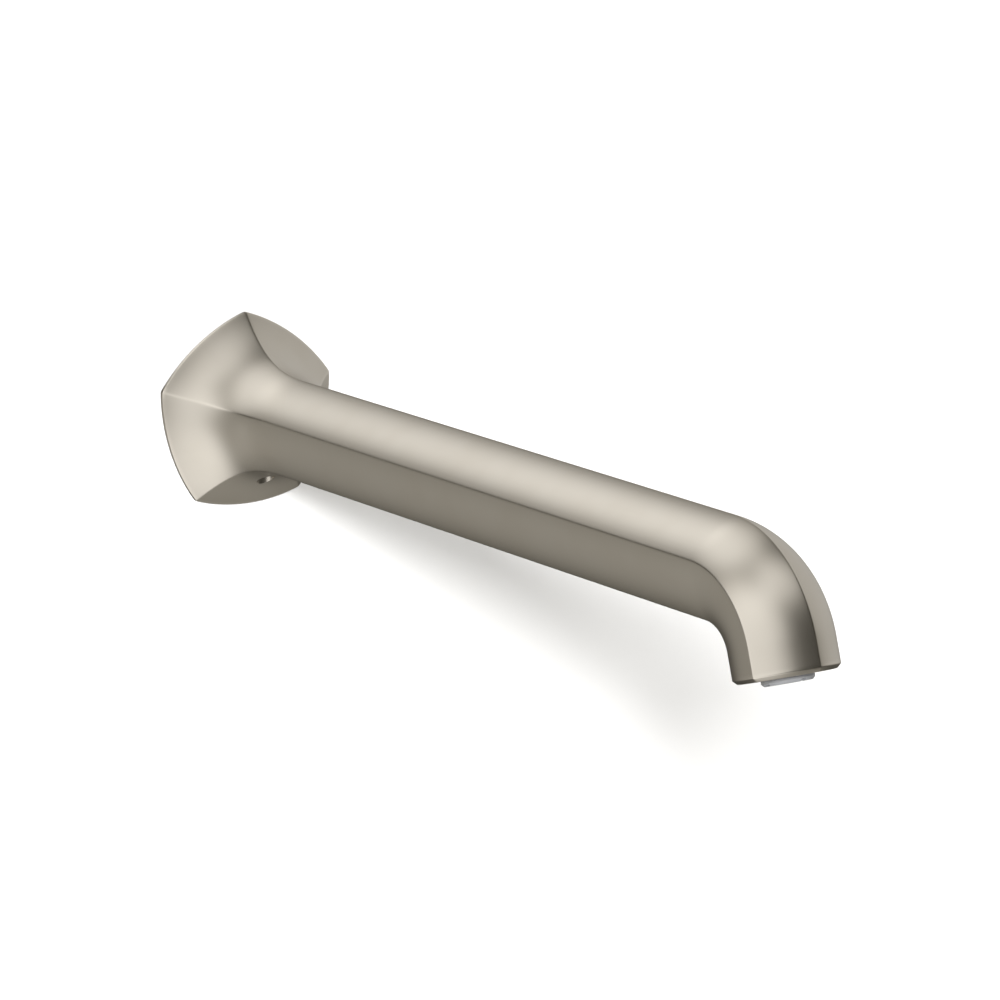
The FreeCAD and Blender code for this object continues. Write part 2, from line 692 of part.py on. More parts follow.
def outlet_nozzle():
    """The brass nozzle in the outlet that takes the waterway's end and the aerator."""
    outline = [
        ("cell_radius", "0"),
        ("nozzle_lip", "0"),
        ("nozzle_lip", "lip_thick"),
        ("nozzle_radius", "lip_thick"),
        ("nozzle_radius", "boss_height"),
        ("neck_radius", "boss_height"),
        ("neck_radius", "nozzle_height"),
        (PIPE_SEAT, "nozzle_height"),
    ]
    outline += reversed(groove_outline(PIPE_SEAT, PIPE_GROOVE, FRONT_SEAL))
    outline += [
        (PIPE_SEAT, "neck_height"),
        (PIPE_BORE, "neck_height"),
        (PIPE_BORE, "cell_height"),
        ("cell_radius", "cell_height"),
    ]
    body = turned_body("outlet_nozzle", outline)
    slot = new_sketch(body, "nozzle_slot_sides")
    side, reach = "slot_width / 2", f"(nozzle_lip + {PAST})"
    draw_outline(slot, [(f"-{side}", f"-{reach}"), (side, f"-{reach}"), (side, reach), (f"-{side}", reach)])
    pocket(body, "nozzle_slots", slot, "slot_depth", reverse=True)
    return on_outlet(body)


def aerator_shell():
    """The aerator's threaded shell, with a collar that shows below the outlet and its key slots."""
    thread = "(cell_radius - thread_gap)"
    body = turned_body(
        "aerator_shell",
        [
            (MOUTH, "-snout_drop"),
            (f"({SNOUT} - snout_bevel)", "-snout_drop"),
            (SNOUT, "(snout_bevel - snout_drop)"),
            (SNOUT, "shell_inset"),
            (thread, "shell_inset"),
            (thread, SHELL_TOP),
            (SHELL_BORE, SHELL_TOP),
            (SHELL_BORE, MOUTH_TOP),
            (MOUTH, MOUTH_TOP),
        ],
    )
    slot = new_sketch(body, "key_slot_sides", height="-snout_drop")
    side = "key_slot / 2"
    near, far = f"({MOUTH} - {PAST})", f"({SNOUT} + {PAST})"
    draw_outline(slot, [(f"-{side}", near), (side, near), (side, far), (f"-{side}", far)])
    first = pocket(body, "key_slot_cut", slot, "key_depth", reverse=True)
    repeat(body, first, "key_slots", KEY_SLOTS)
    return on_outlet(body)


def disc(label, start, thick):
    """A plain disc that fills the aerator shell's bore."""
    body = new_body(label)
    sketch = new_sketch(body, label + "_circle", height=start)
    draw_circle(sketch, INSERT)
    pad(body, label + "_disc", sketch, thick)
    return body


def aerator_washer():
    """The flat washer between the aerator and the nozzle."""
    body = new_body("aerator_washer")
    sketch = new_sketch(body, "washer_circles", height=SHELL_TOP)
    draw_circle(sketch, "cell_radius - thread_gap")
    draw_circle(sketch, "cell_radius - washer_band")
    pad(body, "washer", sketch, "washer_thick")
    return on_outlet(body)


def pierced_disc(label, start, thick, hole, places):
    """A disc on the outlet axis, pierced by copies of one flat hole face, as a plain shape."""
    rise = Vector(0, 0, value(thick))
    blank = Part.makeCylinder(value(INSERT), rise.z, Vector(0, 0, value(start)))
    tools = []
    for x, y in places:
        cut = hole.copy()
        cut.translate(Vector(x, y, value(start)))
        tools.append(cut.extrude(rise))
    piece = doc.addObject("Part::Feature", label)
    piece.Label = label
    piece.Shape = blank.cut(tools)
    return on_outlet(piece)


def flow_straightener():
    """The honeycomb that straightens the stream."""
    pitch = value("comb_pitch")
    corner = (pitch - value("comb_wall")) / 2 / math.cos(math.pi / 6)
    turns = [math.pi / 3 * i + math.pi / 6 for i in range(7)]
    outline = [Vector(corner * math.cos(a), corner * math.sin(a), 0) for a in turns]
    cell = Part.Face(Part.makePolygon(outline))
    rows = int(value(INSERT) / pitch) + 2
    cells = [(i, j) for i in range(-2 * rows, 2 * rows) for j in range(-rows, rows)]
    grid = [((i + j / 2) * pitch, j * pitch * math.sin(math.pi / 3)) for i, j in cells]
    room = value(INSERT) - value("edge_band") - corner
    places = [(x, y) for x, y in grid if math.hypot(x, y) < room]
    return pierced_disc("flow_straightener", MOUTH_TOP, "comb_thick", cell, places)


def outlet_mesh():
    """The square mesh above the honeycomb."""
    pitch = value("mesh_pitch")
    half = (pitch - value("mesh_bar")) / 2
    corners = [Vector(x * half, y * half, 0) for x, y in ((-1, -1), (1, -1), (1, 1), (-1, 1), (-1, -1))]
    cell = Part.Face(Part.makePolygon(corners))
    rows = int(value(INSERT) / pitch) + 1
    room = value(INSERT) - value("edge_band") - half * math.sqrt(2)
    grid = [(i * pitch, j * pitch) for i in range(-rows, rows + 1) for j in range(-rows, rows + 1)]
    places = [(x, y) for x, y in grid if math.hypot(x, y) < room]
    return pierced_disc("outlet_mesh", COMB_TOP, "mesh_thick", cell, places)


def mixing_core():
    """The ring with a post and vanes where the stream takes in air."""
    body = new_body("mixing_core")
    ring = new_sketch(body, "core_circles", height=MESH_TOP)
    draw_circle(ring, INSERT)
    draw_circle(ring, f"({INSERT} - core_wall)")
    pad(body, "core_ring", ring, "core_height")
    vane = new_sketch(body, "vane_sides", height=MESH_TOP)
    side, far = "core_vane / 2", f"({INSERT} - core_wall / 2)"
    draw_outline(vane, [(f"-{side}", "0"), (side, "0"), (side, far), (f"-{side}", far)])
    first = pad(body, "vane", vane, "core_height")
    repeat(body, first, "vanes", CORE_VANES)
    post = new_sketch(body, "post_circle", height=MESH_TOP)
    draw_circle(post, "core_post")
    pad(body, "post", post, "core_height")
    return on_outlet(body)


def jet_plate():
    """The plate whose jets speed the water up."""
    body = disc("jet_plate", CORE_TOP, "plate_thick")
    jet = new_sketch(body, "jet_circle_sketch", height=PLATE_TOP)
    draw_circle(jet, "jet_radius", "0", f"{INSERT} - jet_inset")
    first = pocket(body, "jet", jet, "plate_thick")
    repeat(body, first, "jets", JETS)
    return on_outlet(body)


def inlet_strainer():
    """The hooded strainer on top of the aerator, with two rings of holes."""
    top = f"({PLATE_TOP} + strainer_height)"
    inner_top = f"({PLATE_TOP} + strainer_height - strainer_wall)"
    body = turned_body(
        "inlet_strainer",
        [
            (f"({HOOD} - strainer_wall)", PLATE_TOP),
            (INSERT, PLATE_TOP),
            (INSERT, f"({PLATE_TOP} + strainer_wall)"),
            (HOOD, f"({PLATE_TOP} + strainer_wall)"),
            (HOOD_TOP, top),
            ("0", top),
            ("0", inner_top),
            (f"({HOOD_TOP} - strainer_wall / 2)", inner_top),
        ],
    )
    for number, radius in enumerate((f"({HOOD} + {HOOD_TOP}) / 2", f"{HOOD_TOP} * {INNER_RING}")):
        count = max(FEWEST_HOLES, round(2 * math.pi * value(radius) / value("strainer_pitch")))
        hole = new_sketch(body, f"strainer_hole_{number}", height=top)
        draw_circle(hole, "strainer_hole", "0", radius)
        first = pocket(body, f"strainer_cut_{number}", hole, "strainer_height")
        repeat(body, first, f"strainer_holes_{number}", count)
    return on_outlet(body)


def below_axis(piece):
    """Lays a piece's Z axis straight down from the supply axis, at the set screw's place."""
    piece.Placement = Placement(Vector(), Rotation(Vector(1, 0, 0), 180))
    piece.setExpression("Placement.Base.y", bound("-screw_place * 1mm"))
    return piece


def set_screw():
    """The M6 set screw that locks the spout on the adapter's collar."""
    body = new_body("set_screw")
    shank = new_sketch(body, "screw_circle", height=SCREW_START)
    draw_circle(shank, "screw_radius")
    pad(body, "shank", shank, "screw_length")
    drive = new_sketch(body, "screw_hex", height=f"{SCREW_START} + screw_length")
    draw_hexagon(drive, "screw_drive / 2")
    pocket(body, "screw_socket_cut", drive, "screw_socket")
    stem = new_sketch(body, "stem_hole_circle", height=SCREW_START)
    draw_circle(stem, "pad_stem + slip_gap")
    pocket(body, "stem_hole", stem, "stem_length + slip_gap", reverse=True)
    return below_axis(body)


def set_screw_pad():
    """The swivel pad that bears on the collar while the screw turns."""
    body = new_body("set_screw_pad")
    face = new_sketch(body, "pad_circle", height=PAD_START)
    draw_circle(face, "pad_radius")
    pad(body, "pad_disc", face, "pad_thick")
    stem = new_sketch(body, "pad_stem_circle", height=SCREW_START)
    draw_circle(stem, "pad_stem")
    pad(body, "pad_stem_post", stem, "stem_length")
    return below_axis(body)


def build_all():
    """Every piece of the spout and of its wall adapter."""
    return [
        spout_body(),
        wall_gasket(),
        inlet_socket(),
        retaining_ring(),
        waterway_tube(),
        o_ring("tube_rear_o_ring", PIPE_SEAL, REAR_SEAL, on_supply),
        o_ring("tube_front_o_ring", PIPE_SEAL, FRONT_SEAL, on_outlet),
        tube_spacer("tube_spacer_rear", "spacer_first"),
        tube_spacer("tube_spacer_front", "spacer_second"),
        outlet_nozzle(),
        set_screw(),
        set_screw_pad(),
        aerator_washer(),
        aerator_shell(),
        flow_straightener(),
        outlet_mesh(),
        mixing_core(),
        jet_plate(),
        inlet_strainer(),
        wall_adapter(),
        o_ring("adapter_rear_o_ring", SPIGOT_SEAL, "(collar_length + seal_first)", on_supply),
        o_ring("adapter_front_o_ring", SPIGOT_SEAL, "(collar_length + seal_second)", on_supply),
    ]


def check_all(pieces):
    """Stops the build if an object failed or a piece is not one sound solid."""
    failed = [item.Name for item in doc.Objects if {"Invalid", "Error"} & set(item.State)]
    for piece in pieces:
        if piece.Shape.isNull() or not piece.Shape.isValid() or len(piece.Shape.Solids) != 1:
            failed.append(piece.Label)
    if failed:
        raise RuntimeError("failed: " + ", ".join(failed))


def main():
    """Builds, checks and writes every piece."""
    pieces = build_all()
    doc.recompute()
    check_all(pieces)
    os.makedirs("parts", exist_ok=True)
    for piece in pieces:
        piece.Shape.exportStep(f"parts/{piece.Label}.step")
        print(f"{piece.Label}: {piece.Shape.Volume:.1f} cubic mm")


main()
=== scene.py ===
"""The looks of a five-sided wall-mounted bath spout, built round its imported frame.

Lengths are metres.  The frame's origin is where the supply axis meets the wall, -Y is out of the wall, +Z
is up and +X is to the right of somebody facing the wall.  Each sub-assembly is a class that holds its sizes,
builds its pieces and dresses them.  Round work comes from one node tree, five-sided work from a second and
the aerator's honeycomb from a third.
"""

import json
import logging
import math
from collections.abc import Sequence
from dataclasses import dataclass, field, replace
from enum import Enum

import bmesh
import bpy
import numpy as np
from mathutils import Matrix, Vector


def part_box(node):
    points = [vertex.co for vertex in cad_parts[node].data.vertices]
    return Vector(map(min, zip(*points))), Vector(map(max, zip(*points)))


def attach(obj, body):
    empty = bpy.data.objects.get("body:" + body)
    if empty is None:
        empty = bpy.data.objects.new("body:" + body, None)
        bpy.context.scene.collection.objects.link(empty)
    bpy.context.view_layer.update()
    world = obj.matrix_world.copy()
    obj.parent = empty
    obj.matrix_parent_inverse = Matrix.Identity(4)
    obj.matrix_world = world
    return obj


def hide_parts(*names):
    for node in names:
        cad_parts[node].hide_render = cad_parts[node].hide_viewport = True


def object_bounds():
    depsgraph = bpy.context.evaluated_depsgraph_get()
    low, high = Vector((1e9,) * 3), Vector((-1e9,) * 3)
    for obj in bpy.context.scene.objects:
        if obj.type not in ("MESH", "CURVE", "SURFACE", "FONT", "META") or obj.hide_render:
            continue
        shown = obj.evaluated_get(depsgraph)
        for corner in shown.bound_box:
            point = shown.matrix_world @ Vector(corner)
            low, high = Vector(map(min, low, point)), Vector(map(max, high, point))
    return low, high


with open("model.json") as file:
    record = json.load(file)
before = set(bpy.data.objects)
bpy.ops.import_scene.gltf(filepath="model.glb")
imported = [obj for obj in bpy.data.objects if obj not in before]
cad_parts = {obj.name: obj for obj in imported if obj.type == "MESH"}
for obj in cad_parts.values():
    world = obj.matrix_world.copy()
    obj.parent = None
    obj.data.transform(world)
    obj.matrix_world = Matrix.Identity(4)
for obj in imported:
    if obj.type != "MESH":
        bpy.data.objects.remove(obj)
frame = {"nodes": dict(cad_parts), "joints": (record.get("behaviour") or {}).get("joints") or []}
CAD_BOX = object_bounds()

log = logging.getLogger("bath_spout")

MM = 0.001
FULL_TURN = 2 * math.pi
SIDES = 5
SIDE_ANGLE = FULL_TURN / SIDES
WELD = 0.002 * MM  # points nearer than this become one
SHARP_ANGLE = math.radians(32)
FILLET_STEPS = 4
LONGEST_FILLET = 0.45  # share of the run to the next corner
LAND_COLUMNS = 25
SLOT_COLUMNS = 5
STEEPEST_SLOT = 0.95  # sine of the half angle that a slot may take
SEAL_COLUMNS = 120
SEAL_POINTS = 24  # round an O-ring's cord
MOULD_FLASH = 0.02 * MM  # how far the mould's line stands out of a seal
BLOCK_FACES = ((0, 1, 3, 2), (4, 6, 7, 5), (0, 4, 5, 1), (2, 3, 7, 6), (0, 2, 6, 4), (1, 5, 7, 3))
UV_NAME = "sweep"
# nearness to an edge: the metals' painted highlight and the plastics' less rough edges follow it
EDGE_LAYER = "edge"


# ---------------------------------------------------------------- node trees


@dataclass(frozen=True)
class Flow:
    """A value that runs through a node tree; arithmetic on it adds the nodes that work it out."""

    tree: "Tree"
    socket: bpy.types.NodeSocket

    def _join(self, operation: str, *others: "Term") -> "Flow":
        """Adds one Math, Vector Math or Mix node.

        Args:
            operation: the node's operation, such as ADD.
            others: the terms that follow this one.

        Returns:
            The node's result.
        """
        terms = (self, *others)
        kinds = {term.socket.type for term in terms if isinstance(term, Flow)}
        if "RGBA" in kinds:
            settings = {"data_type": "RGBA", "blend_type": operation}
            return self.tree.node("ShaderNodeMix", settings, {"Factor": 1.0, "A": terms[0], "B": terms[1]})
        vector = "VECTOR" in kinds or any(isinstance(term, tuple) for term in terms)
        kind = "ShaderNodeVectorMath" if vector else "ShaderNodeMath"
        return self.tree.node(kind, {"operation": operation}, dict(enumerate(terms)))

    def _after(self, operation: str, first: "Term") -> "Flow":
        """The same with the other term in front, for the reflected operators."""
        return self.tree.value(first)._join(operation, self)

    def __add__(self, other: "Term") -> "Flow":
        """self + other."""
        return self._join("ADD", other)

    def __radd__(self, other: "Term") -> "Flow":
        """other + self."""
        return self._join("ADD", other)

    def __sub__(self, other: "Term") -> "Flow":
        """self - other."""
        return self._join("SUBTRACT", other)

    def __rsub__(self, other: "Term") -> "Flow":
        """other - self."""
        return self._after("SUBTRACT", other)

    def __mul__(self, other: "Term") -> "Flow":
        """self * other."""
        return self._join("MULTIPLY", other)

    def __rmul__(self, other: "Term") -> "Flow":
        """other * self."""
        return self._join("MULTIPLY", other)

    def __truediv__(self, other: "Term") -> "Flow":
        """self / other."""
        return self._join("DIVIDE", other)

    def __rtruediv__(self, other: "Term") -> "Flow":
        """other / self."""
        return self._after("DIVIDE", other)

    def __pow__(self, other: "Term") -> "Flow":
        """self to the power of other."""
        return self._join("POWER", other)

    def __neg__(self) -> "Flow":
        """Minus self."""
        return self._after("SUBTRACT", 0.0)

    def __abs__(self) -> "Flow":
        """The size of self."""
        return self._join("ABSOLUTE")

    def sin(self) -> "Flow":
        """The sine of self, in radians."""
        return self._join("SINE")

    def cos(self) -> "Flow":
        """The cosine of self, in radians."""
        return self._join("COSINE")

    def root(self) -> "Flow":
        """The square root of self."""
        return self._join("SQRT")

    def part(self) -> "Flow":
        """What is left of self above the whole number below it."""
        return self._join("FRACT")

    def floor(self) -> "Flow":
        """The whole number below self."""
        return self._join("FLOOR")

    def least(self, other: "Term") -> "Flow":
        """The smaller of self and other."""
        return self._join("MINIMUM", other)

    def most(self, other: "Term") -> "Flow":
        """The larger of self and other."""
        return self._join("MAXIMUM", other)

    def rise(self, low: float, high: float) -> "Flow":
        """Goes smoothly from 0 to 1.

        Args:
            low: where it leaves 0.
            high: where it reaches 1.

        Returns:
            The share.
        """
        settings = {"interpolation_type": "SMOOTHSTEP"}
        sockets = {"Value": self, "From Min": low, "From Max": high}
        return self.tree.node("ShaderNodeMapRange", settings, sockets)

    def above(self, other: "Term") -> "Flow":
        """1 where self is the larger and 0 elsewhere."""
        return self._join("GREATER_THAN", other)

    def dot(self, other: "Term") -> "Flow":
        """The dot product with another vector."""
        return self._join("DOT_PRODUCT", other).out("Value")

    def out(self, name: str) -> "Flow":
        """Another output of the node that gives self."""
        return Flow(self.tree, self.socket.node.outputs[name])

    def split(self) -> tuple["Flow", "Flow", "Flow"]:
        """The three parts of a vector."""
        parts = self.tree.node("ShaderNodeSeparateXYZ", sockets={0: self})
        return parts, parts.out("Y"), parts.out("Z")


Term = Flow | float | tuple


class Tree:
    """Adds nodes to one node tree, each with its settings first and its sockets after them."""

    def __init__(self, tree: bpy.types.NodeTree) -> None:
        """Starts on an empty tree."""
        self.tree = tree
        self.tree.nodes.clear()

    def node(self, kind: str, settings: dict | None = None, sockets: dict | None = None) -> Flow:
        """Adds a node of any type.

        Args:
            kind: the node's type name.
            settings: its own properties, which are set first.
            sockets: values or flows by socket name, or by number among the sockets in use.

        Returns:
            Its first output in use, or its first input where it has no output.
        """
        made = self.tree.nodes.new(kind)
        for key, setting in (settings or {}).items():
            setattr(made, key, setting)
        live = [socket for socket in made.inputs if socket.enabled]
        for key, term in (sockets or {}).items():
            found = live[key] if isinstance(key, int) else next(s for s in live if s.name == key)
            self._feed(found, term)
        outputs = [socket for socket in made.outputs if socket.enabled]
        return Flow(self, outputs[0] if outputs else made.inputs[0])

    def _feed(self, socket: bpy.types.NodeSocket, term: Term) -> None:
        """Links a flow to a socket, or sets the socket's own value.

        Args:
            socket: the socket.
            term: a flow, a number, a vector, a colour or a named option.
        """
        if isinstance(term, Flow):
            self.tree.links.new(term.socket, socket)
        elif socket.type == "VECTOR" and isinstance(term, (int, float)):
            socket.default_value = (term, term, term)
        elif socket.type == "RGBA" and len(term) == 3:
            socket.default_value = (*term, 1.0)
        else:
            socket.default_value = term

    def value(self, term: Term) -> Flow:
        """A flow that starts from a plain number or vector.

        Args:
            term: the number or vector; a flow is given back as it is.

        Returns:
            The flow.
        """
        if isinstance(term, Flow):
            return term
        if isinstance(term, tuple):
            return self.node("ShaderNodeCombineXYZ", sockets=dict(enumerate(term)))
        return self.node("ShaderNodeMath", {"operation": "ADD"}, {0: term, 1: 0.0})

    def vector(self, x: Term, y: Term, z: Term) -> Flow:
        """A vector from three parts."""
        return self.node("ShaderNodeCombineXYZ", sockets={0: x, 1: y, 2: z})

    def tint(self, factor: Term, first: Term, second: Term) -> Flow:
        """The first colour where the factor is 0 and the second where it is 1."""
        return self.node("ShaderNodeMix", {"data_type": "RGBA"}, {"Factor": factor, "A": first, "B": second})

    def noise(self, vector: Flow, scale: float, detail: float = 3.0, roughness: float = 0.55) -> Flow:
        """A noise value of about 0.5 on average."""
        sockets = {"Vector": vector, "Scale": scale, "Detail": detail, "Roughness": roughness}
        return self.node("ShaderNodeTexNoise", {"noise_dimensions": "3D"}, sockets)


class ShapeTree(Tree):
    """A Geometry Nodes tree with named inputs."""

    def __init__(self, name: str, inputs: dict[str, type | float]) -> None:
        """Makes the group, its named inputs and its geometry sockets.

        Args:
            name: the group's name.
            inputs: each input's name, with a float for a number's default or Vector for a vector.
        """
        group = bpy.data.node_groups.new(name, "GeometryNodeTree")
        super().__init__(group)
        face = group.interface
        face.new_socket("Geometry", in_out="INPUT", socket_type="NodeSocketGeometry")
        for key, kind in inputs.items():
            if kind is Vector:
                face.new_socket(key, in_out="INPUT", socket_type="NodeSocketVector")
            else:
                face.new_socket(key, in_out="INPUT", socket_type="NodeSocketFloat").default_value = kind
        face.new_socket("Finish", in_out="INPUT", socket_type="NodeSocketMaterial")
        face.new_socket("Geometry", in_out="OUTPUT", socket_type="NodeSocketGeometry")
        self.given = self.node("NodeGroupInput")

    def layer(self, name: str) -> Flow:
        """A named number of each point."""
        return self.node("GeometryNodeInputNamedAttribute", {"data_type": "FLOAT"}, {"Name": name})

    def place(self, geometry: Flow, position: Flow) -> Flow:
        """Moves every point and joins those that then lie together."""
        moved = self.node("GeometryNodeSetPosition", sockets={"Geometry": geometry, "Position": position})
        return self.node("GeometryNodeMergeByDistance", sockets={"Geometry": moved, "Distance": WELD})

    def finish(self, geometry: Flow) -> None:
        """Ends the tree: real geometry, one finish, and the output.

        Args:
            geometry: what the tree has made.
        """
        real = self.node("GeometryNodeRealizeInstances", sockets={"Geometry": geometry})
        dressed = self.node(
            "GeometryNodeSetMaterial", sockets={"Geometry": real, "Material": self.given.out("Finish")}
        )
        self.node("NodeGroupOutput", sockets={"Geometry": dressed})

    def shape(self, name: str, mesh: bpy.types.Mesh, finish: bpy.types.Material,
              **inputs: float | Vector) -> bpy.types.Object:
        """Runs the tree on a mesh and keeps the result as a plain mesh.

        Args:
            name: the piece's name.
            mesh: what the tree starts from.
            finish: the piece's material.
            inputs: the tree's named inputs, with _ for a space.

        Returns:
            The finished piece, with no modifier.
        """
        piece = link(name, mesh)
        modifier = piece.modifiers.new("shape", "NODES")
        modifier.node_group = self.tree
        given = {key.replace("_", " ").title(): item for key, item in inputs.items()} | {"Finish": finish}
        for socket in self.tree.interface.items_tree:
            if socket.in_out == "INPUT" and socket.name in given:
                modifier[socket.identifier] = given[socket.name]
        return settle(piece)


def settle(piece: bpy.types.Object) -> bpy.types.Object:
    """Turns a piece and its live modifiers into one plain mesh.

    Args:
        piece: an object with modifiers.

    Returns:
        The same object with its result as its mesh and no modifiers.
    """
    graph = bpy.context.evaluated_depsgraph_get()
    shown = piece.evaluated_get(graph)
    plain = bpy.data.meshes.new_from_object(shown, preserve_all_data_layers=True, depsgraph=graph)
    piece.modifiers.clear()
    piece.data = plain
    plain.name = piece.name
    return piece


def face_outwards(mesh: bpy.types.Mesh) -> None:
    """Turns the faces of a closed mesh outwards.

    Args:
        mesh: the mesh, which is changed.
    """
    work = bmesh.new()
    work.from_mesh(mesh)
    bmesh.ops.recalc_face_normals(work, faces=work.faces)
    work.to_mesh(mesh)
    work.free()


def link(name: str, data: bpy.types.ID) -> bpy.types.Object:
    """Puts a new object into the scene.

    Args:
        name: the object's name.
        data: its mesh, light or lens.

    Returns:
        The object.
    """
    made = bpy.data.objects.new(name, data)
    bpy.context.scene.collection.objects.link(made)
    return made


def polish(piece: bpy.types.Object) -> bpy.types.Object:
    """Turns faces outwards and shades them smoothly, with the large faces leading.

    Args:
        piece: a closed plain mesh.

    Returns:
        The same object.
    """
    face_outwards(piece.data)
    piece.data.shade_smooth()
    piece.data.set_sharp_from_angle(angle=SHARP_ANGLE)
    weigh = piece.modifiers.new("weigh", "WEIGHTED_NORMAL")
    weigh.keep_sharp = True
    return settle(piece)


# ---------------------------------------------------------------- rings and corners


@dataclass(frozen=True)
class Corner:
    """One corner of a piece's outline.

    Attributes:
        along: distance along the piece's axis or path.
        reach: radius, or corner radius of a sided section.
        soft: length of the rounding at this corner.
        round: 1 for a round section, 0 for the five-sided one.
        cut: depth of thread here, as a share.
        flats: 1 where the section is a hexagon.
        steps: how many parts the run to the next corner is split into.
    """

    along: float
    reach: float
    soft: float = 0.0
    round: float = 1.0
    cut: float = 0.0
    flats: float = 0.0
    steps: int = 1

    def toward(self, other: "Corner", share: float) -> "Corner":
        """A point on the straight way to another corner, with this one's section."""
        along = self.along + (other.along - self.along) * share
        return replace(self, along=along, reach=self.reach + (other.reach - self.reach) * share)

    def far(self, other: "Corner") -> float:
        """The distance to another corner."""
        return math.hypot(other.along - self.along, other.reach - self.reach)


def sided(along: float, reach: float, soft: float = 0.0) -> Corner:
    """A corner of an outline whose section is five-sided here."""
    return Corner(along, reach, soft, round=0.0)


@dataclass(frozen=True)
class Ring:
    """One ring of points: a corner's values, and how near it is to an edge."""

    at: Corner
    edge: float


def rounded(corners: Sequence[Corner], looped: bool = True) -> list[Ring]:
    """Rounds each soft corner of an outline with a short curve and splits its long runs.

    Args:
        corners: the outline's corners in order.
        looped: whether the outline closes on itself.

    Returns:
        The outline's rings.
    """
    rings = []
    count = len(corners)
    for i, corner in enumerate(corners):
        before, after = corners[i - 1], corners[(i + 1) % count]
        free = looped or 0 < i < count - 1
        leave = corner
        if corner.soft and free:
            start = corner.toward(before, min(LONGEST_FILLET, corner.soft / corner.far(before)))
            leave = corner.toward(after, min(LONGEST_FILLET, corner.soft / corner.far(after)))
            for step in range(FILLET_STEPS + 1):
                share = step / FILLET_STEPS
                first, second = start.toward(corner, share), corner.toward(leave, share)
                rings.append(Ring(replace(first.toward(second, share), cut=corner.cut), 1.0))
        else:
            rings.append(Ring(corner, 0.0))
        if looped or i < count - 1:
            for step in range(1, corner.steps):
                rings.append(Ring(leave.toward(after, step / corner.steps), 0.0))
    return rings


@dataclass(frozen=True)
class Slots:
    """Parallel-sided slots cut into the low end of a turned piece.

    Attributes:
        count: how many, evenly spaced.
        width: across each slot.
        floor: height of the slots' floor.
    """

    count: int
    width: float
    floor: float


def weave(name: str, rings: Sequence[Ring], columns: int | Sequence[float], looped: bool = True,
          slots: Slots | None = None) -> bpy.types.Mesh:
    """Makes a grid of rings and columns, with each point's place held in named layers for the trees.

    Args:
        name: the mesh's name.
        rings: the rings, in order along the outline.
        columns: the columns' angles, or how many evenly spaced ones.
        looped: whether the last ring joins the first; otherwise both ends are capped.
        slots: slots in the low end, if the piece has them.

    Returns:
        A mesh whose points still lie at the origin, with the layers and a UV map.
    """
    size = np.array([[r.at.along, r.at.reach, r.at.round, r.at.cut, r.at.flats, r.edge] for r in rings])
    if slots:
        turns, inside = slotted_columns(size[:, 1], slots)
    else:
        angles = np.arange(columns) * FULL_TURN / columns if isinstance(columns, int) else np.array(columns)
        turns = np.tile(angles, (len(rings), 1))
        inside = np.zeros(len(angles), bool)
    count, wide = turns.shape
    layers = {key: np.repeat(size[:, i:i + 1], wide, 1)
              for i, key in enumerate(("along", "reach", "round", "cut", "flats", EDGE_LAYER))}
    layers["turn"] = turns
    if slots:
        low = layers["along"] < slots.floor
        layers["along"] = np.where(low & inside[None, :], slots.floor, layers["along"])

    bands = count if looped else count - 1
    cells = [(i, (i + 1) % count, j, (j + 1) % wide) for i in range(bands) for j in range(wide)]
    faces = [
        (i * wide + j, ahead * wide + j, ahead * wide + beside, i * wide + beside)
        for i, ahead, j, beside in cells
    ]
    run = np.hypot(*np.diff(np.vstack([size[:, :2], size[:1, :2]]), axis=0).T)
    length = np.concatenate([[0.0], np.cumsum(run)]) / max(run.sum(), WELD)
    spots = [
        spot for i in range(bands) for j in range(wide)
        for spot in ((j, i), (j, i + 1), (j + 1, i + 1), (j + 1, i))
    ]
    marks = [(j / wide, length[i]) for j, i in spots]
    if not looped:
        for row in (0, count - 1):
            faces.append(tuple(row * wide + j for j in range(wide)))
            marks += [(j / wide, length[row]) for j in range(wide)]

    mesh = bpy.data.meshes.new(name)
    mesh.from_pydata(np.zeros((count * wide, 3)).tolist(), [], faces)
    for key, numbers in layers.items():
        layer = mesh.attributes.new(key, "FLOAT", "POINT")
        layer.data.foreach_set("value", numbers.astype(np.float32).ravel())
    mesh.uv_layers.new(name=UV_NAME).data.foreach_set("uv", np.array(marks, np.float32).ravel())
    return mesh


def slotted_columns(reaches: np.ndarray, slots: Slots) -> tuple[np.ndarray, np.ndarray]:
    """Angles of columns that follow the slots' parallel sides.

    Args:
        reaches: each ring's radius.
        slots: the slots.

    Returns:
        The angle of each ring and column, and which columns lie in a slot.
    """
    land, floor = np.linspace(0, 1, LAND_COLUMNS), np.linspace(0, 1, SLOT_COLUMNS)
    pitch = FULL_TURN / slots.count
    half = np.arcsin(np.minimum(STEEPEST_SLOT, slots.width / 2 / reaches))[:, None]
    turns, inside = [], []
    for number in range(slots.count):
        middle = number * pitch
        turns.append(middle - half + floor[None, :] * 2 * half)
        turns.append(middle + half + land[None, :] * (pitch - 2 * half))
        inside += [True] * len(floor) + [False] * len(land)
    return np.hstack(turns), np.array(inside)


# ---------------------------------------------------------------- axes and the shape trees


@dataclass(frozen=True)
class Axis:
    """Where a turned piece stands: its origin, the way its heights run, and the two ways across."""

    origin: Vector
    along: Vector
    up: Vector

    @property
    def across(self) -> Vector:
        """The way across that makes the threads right-handed."""
        return self.along.cross(self.up)

    def inputs(self) -> dict[str, Vector]:
        """What a shape tree is given of the axis."""
        return {"origin": self.origin, "along": self.along, "up": self.up, "across": self.across}


def joint(name: str) -> dict:
    """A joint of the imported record, by its name."""
    return next(row for row in frame["joints"] if row["name"] == name)


